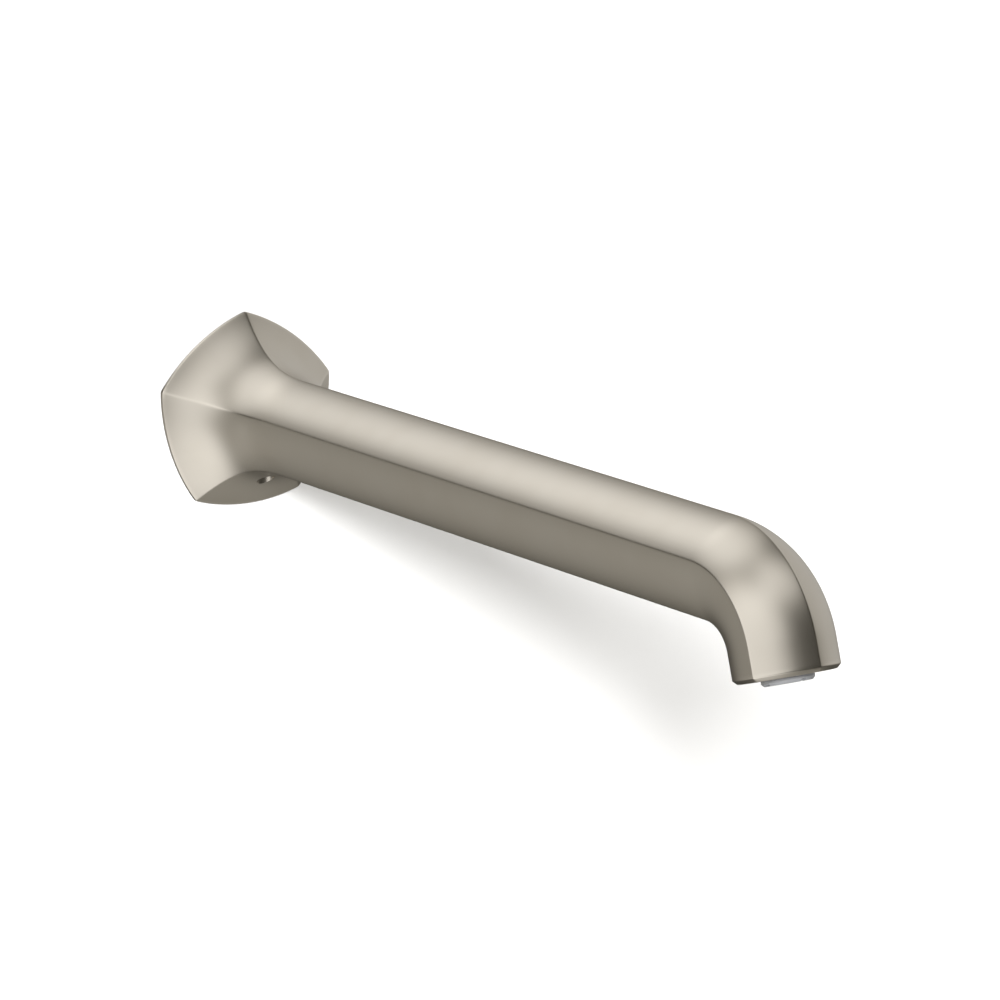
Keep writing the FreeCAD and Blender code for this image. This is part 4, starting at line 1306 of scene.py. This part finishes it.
@dataclass
class Waterway:
    """The water's way through the spout: socket, copper tube, seals, spacers and outlet nozzle."""

    shop: Workshop
    spigot_bore: float = 10.08 * MM
    nose_radius: float = 10.9 * MM
    nose_start: float = 44.0 * MM
    tube_start: float = 46.0 * MM
    tube_bore: float = 6.0 * MM
    tube_seat: float = 7.05 * MM
    cell_radius: float = 9.25 * MM
    cell_height: float = 9.0 * MM
    nozzle_lip: float = 12.2 * MM
    nozzle_thread: float = 11.0 * MM
    neck_radius: float = 10.3 * MM
    boss_height: float = 12.0 * MM
    nozzle_height: float = 16.0 * MM
    neck_height: float = 10.6 * MM
    lip_thick: float = 1.2 * MM
    slots: Slots = Slots(2, 2.0 * MM, 0.8 * MM)
    rear_seal: float = 51.0 * MM
    front_seal: float = 13.4 * MM
    seal_radius: float = 7.93 * MM
    seal_cord: float = 0.88 * MM
    seal_groove: float = 8.86 * MM
    groove_half: float = 1.2 * MM
    thread_depth: float = 0.45 * MM
    thread_parts: int = 72
    run_out: float = 0.6 * MM
    socket_floor: float = 42.5 * MM
    lead_in: float = 0.8 * MM
    clearance: float = 0.05 * MM
    soft: float = 0.25 * MM
    fine: float = 0.1 * MM

    def groove(self, middle: float) -> list[Corner]:
        """The corners of a seal's groove in a bore, for an outline that runs down the axis.

        Args:
            middle: the groove's place along the axis.

        Returns:
            Its four corners.
        """
        first, last = middle + self.groove_half, middle - self.groove_half
        return [
            Corner(first, self.tube_seat),
            Corner(first, self.seal_groove),
            Corner(last, self.seal_groove),
            Corner(last, self.tube_seat),
        ]

    def build_socket(self) -> bpy.types.Object:
        """The brass socket that slides over the adapter's spigot.

        Returns:
            The piece, plain and polished.
        """
        low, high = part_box("inlet_socket")
        start, end, outer = -high.y, -low.y, high.x
        corners = [
            Corner(start, self.spigot_bore + self.lead_in, self.fine),
            Corner(start, outer, self.soft),
            Corner(self.nose_start, outer, self.soft),
            Corner(self.nose_start, self.nose_radius, self.fine),
            Corner(end, self.nose_radius, self.soft),
            Corner(end, self.tube_seat, self.soft),
            *self.groove(self.rear_seal),
            Corner(self.tube_start, self.tube_seat),
            Corner(self.tube_start, self.tube_bore, self.fine),
            Corner(self.socket_floor, self.tube_bore, self.fine),
            Corner(self.socket_floor, self.spigot_bore),
            Corner(start + self.lead_in, self.spigot_bore, self.fine),
        ]
        return self.shop.turned.piece("waterway_socket", corners, SUPPLY, self.shop.finishes[Slot.RAW_BRASS])

    def build_nozzle(self) -> bpy.types.Object:
        """The brass nozzle in the outlet, with its spanner slots, its thread and the aerator's thread.

        Returns:
            The piece, plain and polished.
        """
        thread_start, thread_end = self.lip_thick + self.run_out, self.boss_height - self.run_out
        cell = self.cell_radius + self.clearance
        corners = [
            Corner(0.0, cell, self.soft),
            Corner(0.0, self.nozzle_lip, self.soft * 0.5),
            Corner(self.lip_thick, self.nozzle_lip, self.soft * 0.5),
            Corner(self.lip_thick, self.nozzle_thread - self.thread_depth),
            Corner(thread_start, self.nozzle_thread, cut=1.0, steps=self.thread_parts),
            Corner(thread_end, self.nozzle_thread, cut=1.0),
            Corner(self.boss_height, self.neck_radius),
            Corner(self.nozzle_height, self.neck_radius, self.soft),
            Corner(self.nozzle_height, self.tube_seat, self.soft),
            *self.groove(self.front_seal),
            Corner(self.neck_height, self.tube_seat),
            Corner(self.neck_height, self.tube_bore, self.fine),
            Corner(self.cell_height, self.tube_bore, self.fine),
            Corner(self.cell_height, cell),
        ]
        return self.shop.turned.piece(
            "outlet_insert", corners, OUTLET, self.shop.finishes[Slot.RAW_BRASS], slots=self.slots,
            depth=self.thread_depth,
        )

    def build(self) -> None:
        """Builds the turned pieces and dresses those that keep their CAD shape."""
        shop = self.shop
        shop.stand_in(self.build_socket(), "spout", Slot.RAW_BRASS, "inlet_socket")
        shop.stand_in(self.build_nozzle(), "spout", Slot.RAW_BRASS, "outlet_nozzle")
        shop.dress("waterway_tube", Slot.COPPER)
        for node in ("tube_spacer_rear", "tube_spacer_front"):
            shop.dress(node, Slot.WHITE_PLASTIC)
        shop.seal("tube_rear_o_ring", "spout", SUPPLY, self.rear_seal, self.seal_radius, self.seal_cord)
        shop.seal("tube_front_o_ring", "spout", OUTLET, self.front_seal, self.seal_radius, self.seal_cord)


@dataclass
class WallAdapter:
    """The brass adapter on the supply nipple, with its two seals."""

    shop: Workshop
    thread_radius: float = 10.3 * MM
    thread_end: float = 15.0 * MM
    thread_pitch: float = 1.814 * MM
    thread_depth: float = 0.8 * MM
    collar_end: float = 17.0 * MM
    spigot_radius: float = 10.0 * MM
    bore: float = 5.8 * MM
    drive_flats: float = 12.0 * MM
    drive_depth: float = 9.0 * MM
    seals: tuple[float, float] = (9.0 * MM, 17.0 * MM)
    seal_cord: float = 0.9 * MM
    groove_half: float = 1.2 * MM
    groove_floor: float = 8.22 * MM
    groove_soft: float = 0.12 * MM
    lead_in: float = 0.8 * MM
    thread_parts: int = 90
    columns: int = 120
    soft: float = 0.3 * MM
    end_soft: float = 0.15 * MM
    fine: float = 0.1 * MM

    def build_adapter(self) -> bpy.types.Object:
        """The adapter: collar, grooved spigot, hexagon to turn it by, and the supply thread.

        Returns:
            The piece, plain and polished.
        """
        low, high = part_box("wall_adapter")
        end, collar = -low.y, high.x
        drive = end - self.drive_depth
        root = self.thread_radius - self.thread_depth
        corners = [
            Corner(0.0, self.thread_radius + 0.5 * MM, self.soft),
            Corner(0.0, collar, self.soft),
            Corner(self.collar_end, collar, self.soft * 1.5),
            Corner(self.collar_end, self.spigot_radius, self.soft * 0.5),
        ]
        for seal in self.seals:
            first = self.collar_end + seal - self.groove_half
            last = self.collar_end + seal + self.groove_half
            corners += [
                Corner(first, self.spigot_radius, self.groove_soft),
                Corner(first, self.groove_floor, self.groove_soft),
                Corner(last, self.groove_floor, self.groove_soft),
                Corner(last, self.spigot_radius, self.groove_soft),
            ]
        corners += [
            Corner(end - self.lead_in, self.spigot_radius, self.end_soft),
            Corner(end, self.spigot_radius - self.lead_in, self.end_soft),
            Corner(end, self.drive_flats / 2 + 0.9 * MM, self.fine),
            Corner(end - 0.35 * MM, self.drive_flats / 2, flats=1.0),
            Corner(drive, self.drive_flats / 2, flats=1.0),
            Corner(drive, self.bore, self.fine),
            Corner(self.thread_end, self.bore, self.fine),
            Corner(self.thread_end, self.thread_radius - self.thread_depth * 0.5),
            Corner(self.thread_end - MM, root, cut=1.0, steps=self.thread_parts),
            Corner(self.lead_in, root, cut=1.0),
        ]
        return self.shop.turned.piece(
            "supply_adapter", corners, SUPPLY, self.shop.finishes[Slot.RAW_BRASS], columns=self.columns,
            pitch=self.thread_pitch, depth=-self.thread_depth,
        )

    def build(self) -> None:
        """Builds the adapter and dresses its seals."""
        shop = self.shop
        shop.stand_in(self.build_adapter(), "adapter", Slot.RAW_BRASS, "wall_adapter")
        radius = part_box("adapter_rear_o_ring")[1].x - self.seal_cord
        for node, seal in zip(("adapter_rear_o_ring", "adapter_front_o_ring"), self.seals):
            shop.seal(node, "adapter", SUPPLY, self.collar_end + seal, radius, self.seal_cord - MOULD_FLASH)


@dataclass
class LockScrew:
    """The M6 set screw in the underside of the flare, and its swivel pad."""

    shop: Workshop
    radius: float = 3.0 * MM
    pitch: float = 1.0 * MM
    thread_depth: float = 0.5 * MM
    drive_flats: float = 3.0 * MM
    drive_depth: float = 2.4 * MM
    stem_radius: float = 1.18 * MM
    stem_depth: float = 1.58 * MM
    run_out: float = 0.5 * MM
    thread_parts: int = 44
    columns: int = 72
    fine: float = 0.1 * MM

    def build_screw(self) -> bpy.types.Object:
        """The screw, with its thread, hexagon socket and the hole for the pad's stem.

        Returns:
            The piece, plain and polished.
        """
        low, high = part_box("set_screw")
        tip, head = -high.z, -low.z
        root, flat = self.radius - self.thread_depth, self.drive_flats / 2
        rim = flat / math.cos(math.pi / 6)
        corners = [
            Corner(tip + self.stem_depth, self.stem_radius),
            Corner(tip, self.stem_radius),
            Corner(tip, root, self.fine),
            Corner(tip + self.run_out, self.radius, cut=1.0, steps=self.thread_parts),
            Corner(head - self.run_out, self.radius, cut=1.0),
            Corner(head, root, self.fine),
            Corner(head, rim + 0.15 * MM, self.fine / 2),
            Corner(head - 0.25 * MM, flat, flats=1.0),
            Corner(head - self.drive_depth, flat, flats=1.0),
        ]
        return self.shop.turned.piece(
            "lock_screw", corners, SCREW, self.shop.finishes[Slot.STAINLESS], columns=self.columns,
            looped=False, pitch=self.pitch, depth=self.thread_depth,
        )

    def build(self) -> None:
        """Builds the screw and dresses its pad."""
        self.shop.stand_in(self.build_screw(), "set_screw", Slot.STAINLESS, "set_screw")
        self.shop.dress("set_screw_pad", Slot.RAW_BRASS)


@dataclass
class Aerator:
    """The aerator that screws into the outlet: threaded shell, honeycomb and what it holds."""

    shop: Workshop
    mouth: float = 5.8 * MM
    mouth_thick: float = 0.9 * MM
    snout: float = 8.05 * MM
    bevel: float = 0.8 * MM
    bore: float = 6.9 * MM
    thread_radius: float = 9.17 * MM
    thread_start: float = 0.4 * MM
    pitch: float = 1.0 * MM
    thread_depth: float = 0.5 * MM
    slots: Slots = Slots(4, 1.6 * MM, -1.2 * MM)
    top: float = 7.6 * MM
    below_slots: float = 0.7 * MM
    run_out: float = 0.5 * MM
    thread_parts: int = 66
    soft: float = 0.2 * MM
    fine: float = 0.1 * MM
    comb_columns: int = 96
    comb_pitch: float = 1.9 * MM
    comb_wall: float = 0.3 * MM
    comb_band: float = 0.7 * MM
    comb_radius: float = 6.85 * MM
    comb_low: float = -1.0 * MM
    comb_high: float = 1.6 * MM

    def build_shell(self) -> bpy.types.Object:
        """The grey threaded shell with its collar and key slots.

        Returns:
            The piece, plain and polished.
        """
        bottom, top = self.slots.floor - self.below_slots, self.top
        root = self.thread_radius - self.thread_depth
        corners = [
            Corner(bottom, self.mouth, self.soft),
            Corner(bottom, self.snout - self.bevel, self.soft),
            Corner(bottom + self.bevel, self.snout, self.soft),
            Corner(self.thread_start, self.snout, self.fine),
            Corner(self.thread_start, root, self.fine),
            Corner(self.thread_start + self.run_out, self.thread_radius, cut=1.0, steps=self.thread_parts),
            Corner(top - self.run_out, self.thread_radius, cut=1.0),
            Corner(top, root, self.soft),
            Corner(top, self.bore, self.soft),
            Corner(bottom + self.mouth_thick, self.bore),
            Corner(bottom + self.mouth_thick, self.mouth, 0.15 * MM),
        ]
        return self.shop.turned.piece(
            "aerator_collar", corners, OUTLET, self.shop.finishes[Slot.GREY_PLASTIC], slots=self.slots,
            pitch=self.pitch, depth=self.thread_depth,
        )

    def build_comb(self) -> bpy.types.Object:
        """The honeycomb in the mouth, which straightens the flow.

        Returns:
            The piece, plain and polished.
        """
        low, high, soft = self.comb_low, self.comb_high, self.soft
        corners = [
            Corner(low, self.comb_radius - soft),
            Corner(low + soft, self.comb_radius),
            Corner(high - soft, self.comb_radius),
            Corner(high, self.comb_radius - soft),
        ]
        name, plastic = "honeycomb_straightener", self.shop.finishes[Slot.GREY_PLASTIC]
        mesh = weave(name, rounded(corners, looped=False), self.comb_columns, looped=False)
        cell = (self.comb_pitch - self.comb_wall) / math.sqrt(3)
        made = self.shop.comb.shape(
            name, mesh, plastic, **OUTLET.inputs(), pitch=self.comb_pitch, wall=self.comb_wall,
            reach=self.comb_radius - self.comb_band - cell, height=4 * (high - low),
        )
        return polish(made)

    def build(self) -> None:
        """Builds the shell and the honeycomb, and dresses the insert's other pieces."""
        shop = self.shop
        shop.stand_in(self.build_shell(), "aerator", Slot.GREY_PLASTIC, "aerator_shell")
        shop.stand_in(self.build_comb(), "aerator", Slot.GREY_PLASTIC, "flow_straightener")
        shop.dress("outlet_mesh", Slot.STAINLESS)
        for node in ("mixing_core", "jet_plate", "inlet_strainer"):
            shop.dress(node, Slot.WHITE_PLASTIC)
        shop.dress("aerator_washer", Slot.BLACK_RUBBER)


# ---------------------------------------------------------------- the studio


def toward(azimuth: float, elevation: float) -> tuple[float, float, float]:
    """A direction of length 1.

    Args:
        azimuth: degrees from straight out of the wall, positive to the right.
        elevation: degrees above level.

    Returns:
        The direction's three parts.
    """
    turn, rise = math.radians(azimuth), math.radians(elevation)
    return (math.sin(turn) * math.cos(rise), -math.cos(turn) * math.cos(rise), math.sin(rise))


@dataclass(frozen=True)
class Panel:
    """A soft light of the studio, as a patch of the sky.

    Attributes:
        azimuth: degrees from straight out of the wall, positive to the right.
        elevation: degrees above level.
        core: half angle of its even middle, in degrees.
        reach: half angle at which it has faded out, in degrees.
        strength: its brightness.
    """

    azimuth: float
    elevation: float
    core: float
    reach: float
    strength: float

    def way(self) -> tuple[float, float, float]:
        """The direction of its middle."""
        return toward(self.azimuth, self.elevation)

    def glow(self, facing: Flow) -> Flow:
        """Its brightness in the direction that the tree looks."""
        faded, full = (math.cos(math.radians(angle)) for angle in (self.reach, self.core))
        return facing.dot(self.way()).rise(faded, full) * self.strength


@dataclass
class Studio:
    """A white wall and a pale floor, soft panels, one key light and the camera."""

    panels: tuple[Panel, ...] = (
        Panel(-71, 16, 26, 45, 1.04),
        Panel(-92, 54, 12, 42, 0.26),
        Panel(-156, 56, 8, 32, 1.0),
        Panel(-179, 34, 8, 22, 0.7),
        Panel(106, 20, 22, 52, 0.56),
        Panel(-152, -25, 6, 34, 0.29),
        Panel(-30, 65, 8, 26, 0.88),
        Panel(-62, -50, 14, 38, 1.15),
        Panel(-110, -32, 10, 38, 0.28),
        Panel(-152, 6, 3, 12, 0.3),
        Panel(105, -70, 10, 40, 0.3),
    )
    ground: float = 0.065
    backdrop: float = 1.0
    spread: float = 0.2
    shade: tuple[float, float, float] = (1.0, 0.96, 0.86)
    white_from: float = 0.9
    azimuth: float = -34.2
    elevation: float = 12.8
    distance: float = 1.5616
    lens: float = 178.28
    aim_off_middle: tuple[float, float, float] = (-2.7 * MM, 1.2 * MM, -2.3 * MM)
    key_size: float = 0.42
    key_power: float = 68.0
    key_place: tuple[float, float, float] = (-1.14, -1.96, 0.73)
    key_aim: tuple[float, float, float] = (0.0, -0.1, 0.0)
    stage_width: float = 6.0
    wall_gap: float = 0.2 * MM
    floor_level: float = -0.45
    wall_colour: tuple[float, float, float] = (0.92, 0.92, 0.92)
    floor_colour: tuple[float, float, float] = (0.86, 0.855, 0.84)
    floor_lift: float = 0.1

    def build_world(self) -> None:
        """Panels for what is reflected, an even light for matt things, and a plain backdrop."""
        world = bpy.data.worlds.new("studio")
        bpy.context.scene.world = world
        world.use_nodes = True
        tree = Tree(world.node_tree)
        facing = tree.node("ShaderNodeTexCoord")
        glow = tree.value(self.ground)
        for panel in self.panels:
            glow = glow + panel.glow(facing)
        ray = tree.node("ShaderNodeLightPath")
        level = glow + (self.spread - glow) * ray.out("Is Diffuse Ray")
        level = level + (self.backdrop - level) * ray.out("Is Camera Ray")
        warmth = tree.tint(level.rise(0.0, self.white_from), self.shade, (1.0, 1.0, 1.0))
        light = tree.node("ShaderNodeBackground", sockets={"Color": warmth, "Strength": level})
        tree.node("ShaderNodeOutputWorld", sockets={"Surface": light})

    def plain(self, name: str, colour: tuple[float, float, float], lift: float) -> bpy.types.Material:
        """A matt finish that is seen from its front only.

        Args:
            name: the material's name.
            colour: its colour.
            lift: how much it glows, so that it stays pale far from the key light.

        Returns:
            The material.
        """
        made = bpy.data.materials.new(name)
        made.use_nodes = True
        tree = Tree(made.node_tree)
        matt = tree.node(
            "ShaderNodeBsdfPrincipled",
            sockets={"Base Color": colour, "Roughness": 1.0, "Specular IOR Level": 0.0,
                     "Emission Color": colour, "Emission Strength": lift},
        )
        clear = tree.node("ShaderNodeBsdfTransparent")
        behind = tree.node("ShaderNodeNewGeometry").out("Backfacing")
        both = tree.node("ShaderNodeMixShader", sockets={0: behind, 1: matt, 2: clear})
        tree.node("ShaderNodeOutputMaterial", sockets={"Surface": both})
        return made

    def sheet(self, name: str, corners: Sequence[tuple[float, float, float]],
              finish: bpy.types.Material) -> None:
        """One flat sheet of the stage, which the metal does not reflect.

        Args:
            name: the sheet's name.
            corners: its four corners, counterclockwise as seen from its front.
            finish: its material.
        """
        mesh = bpy.data.meshes.new(name)
        mesh.from_pydata(corners, [], [(0, 1, 2, 3)])
        mesh.materials.append(finish)
        made = link(name, mesh)
        made.visible_glossy = False

    def build_stage(self) -> None:
        """The wall just behind the gasket, and the floor below."""
        wide, back, low = self.stage_width, self.wall_gap, self.floor_level
        wall = [(-wide, back, low), (wide, back, low), (wide, back, wide), (-wide, back, wide)]
        floor = [(-wide, -wide, low), (wide, -wide, low), (wide, back, low), (-wide, back, low)]
        self.sheet("studio_wall", wall, self.plain("white_wall", self.wall_colour, 0.0))
        self.sheet("studio_floor", floor, self.plain("pale_floor", self.floor_colour, self.floor_lift))

    def build_key(self) -> None:
        """The soft key light that throws the shadow on the wall."""
        light = bpy.data.lights.new("key", "AREA")
        light.shape, light.size, light.energy = "DISK", self.key_size, self.key_power
        made = link("key", light)
        made.location = self.key_place
        aim = Vector(self.key_aim) - made.location
        made.rotation_euler = aim.to_track_quat("-Z", "Y").to_euler()
        made.visible_glossy = False

    def build_camera(self) -> None:
        """The camera, at the height and side from which the spout is looked at."""
        lens = bpy.data.cameras.new("camera")
        lens.lens = self.lens
        made = link("camera", lens)
        back = Vector(toward(self.azimuth, self.elevation))
        low, high = CAD_BOX
        made.location = (low + high) / 2 + Vector(self.aim_off_middle) + back * self.distance
        made.rotation_euler = (-back).to_track_quat("-Z", "Y").to_euler()
        bpy.context.scene.camera = made

    def build(self) -> None:
        """Builds everything that is not part of the spout."""
        bpy.context.scene.view_settings.view_transform = "Standard"
        self.build_world()
        self.build_stage()
        self.build_key()
        self.build_camera()


def main() -> None:
    """Builds the studio and every sub-assembly, in order."""
    logging.basicConfig(level=logging.INFO, format="%(message)s")
    Studio().build()
    finishes = {finish.slot: finish.build() for finish in FINISHES}
    shop = Workshop(TurnedWork(), FiveSidedSweep(), Honeycomb(), finishes)
    for assembly in (SpoutCasting(shop), Waterway(shop), WallAdapter(shop), LockScrew(shop), Aerator(shop)):
        assembly.build()


if __name__ == "__main__":
    main()
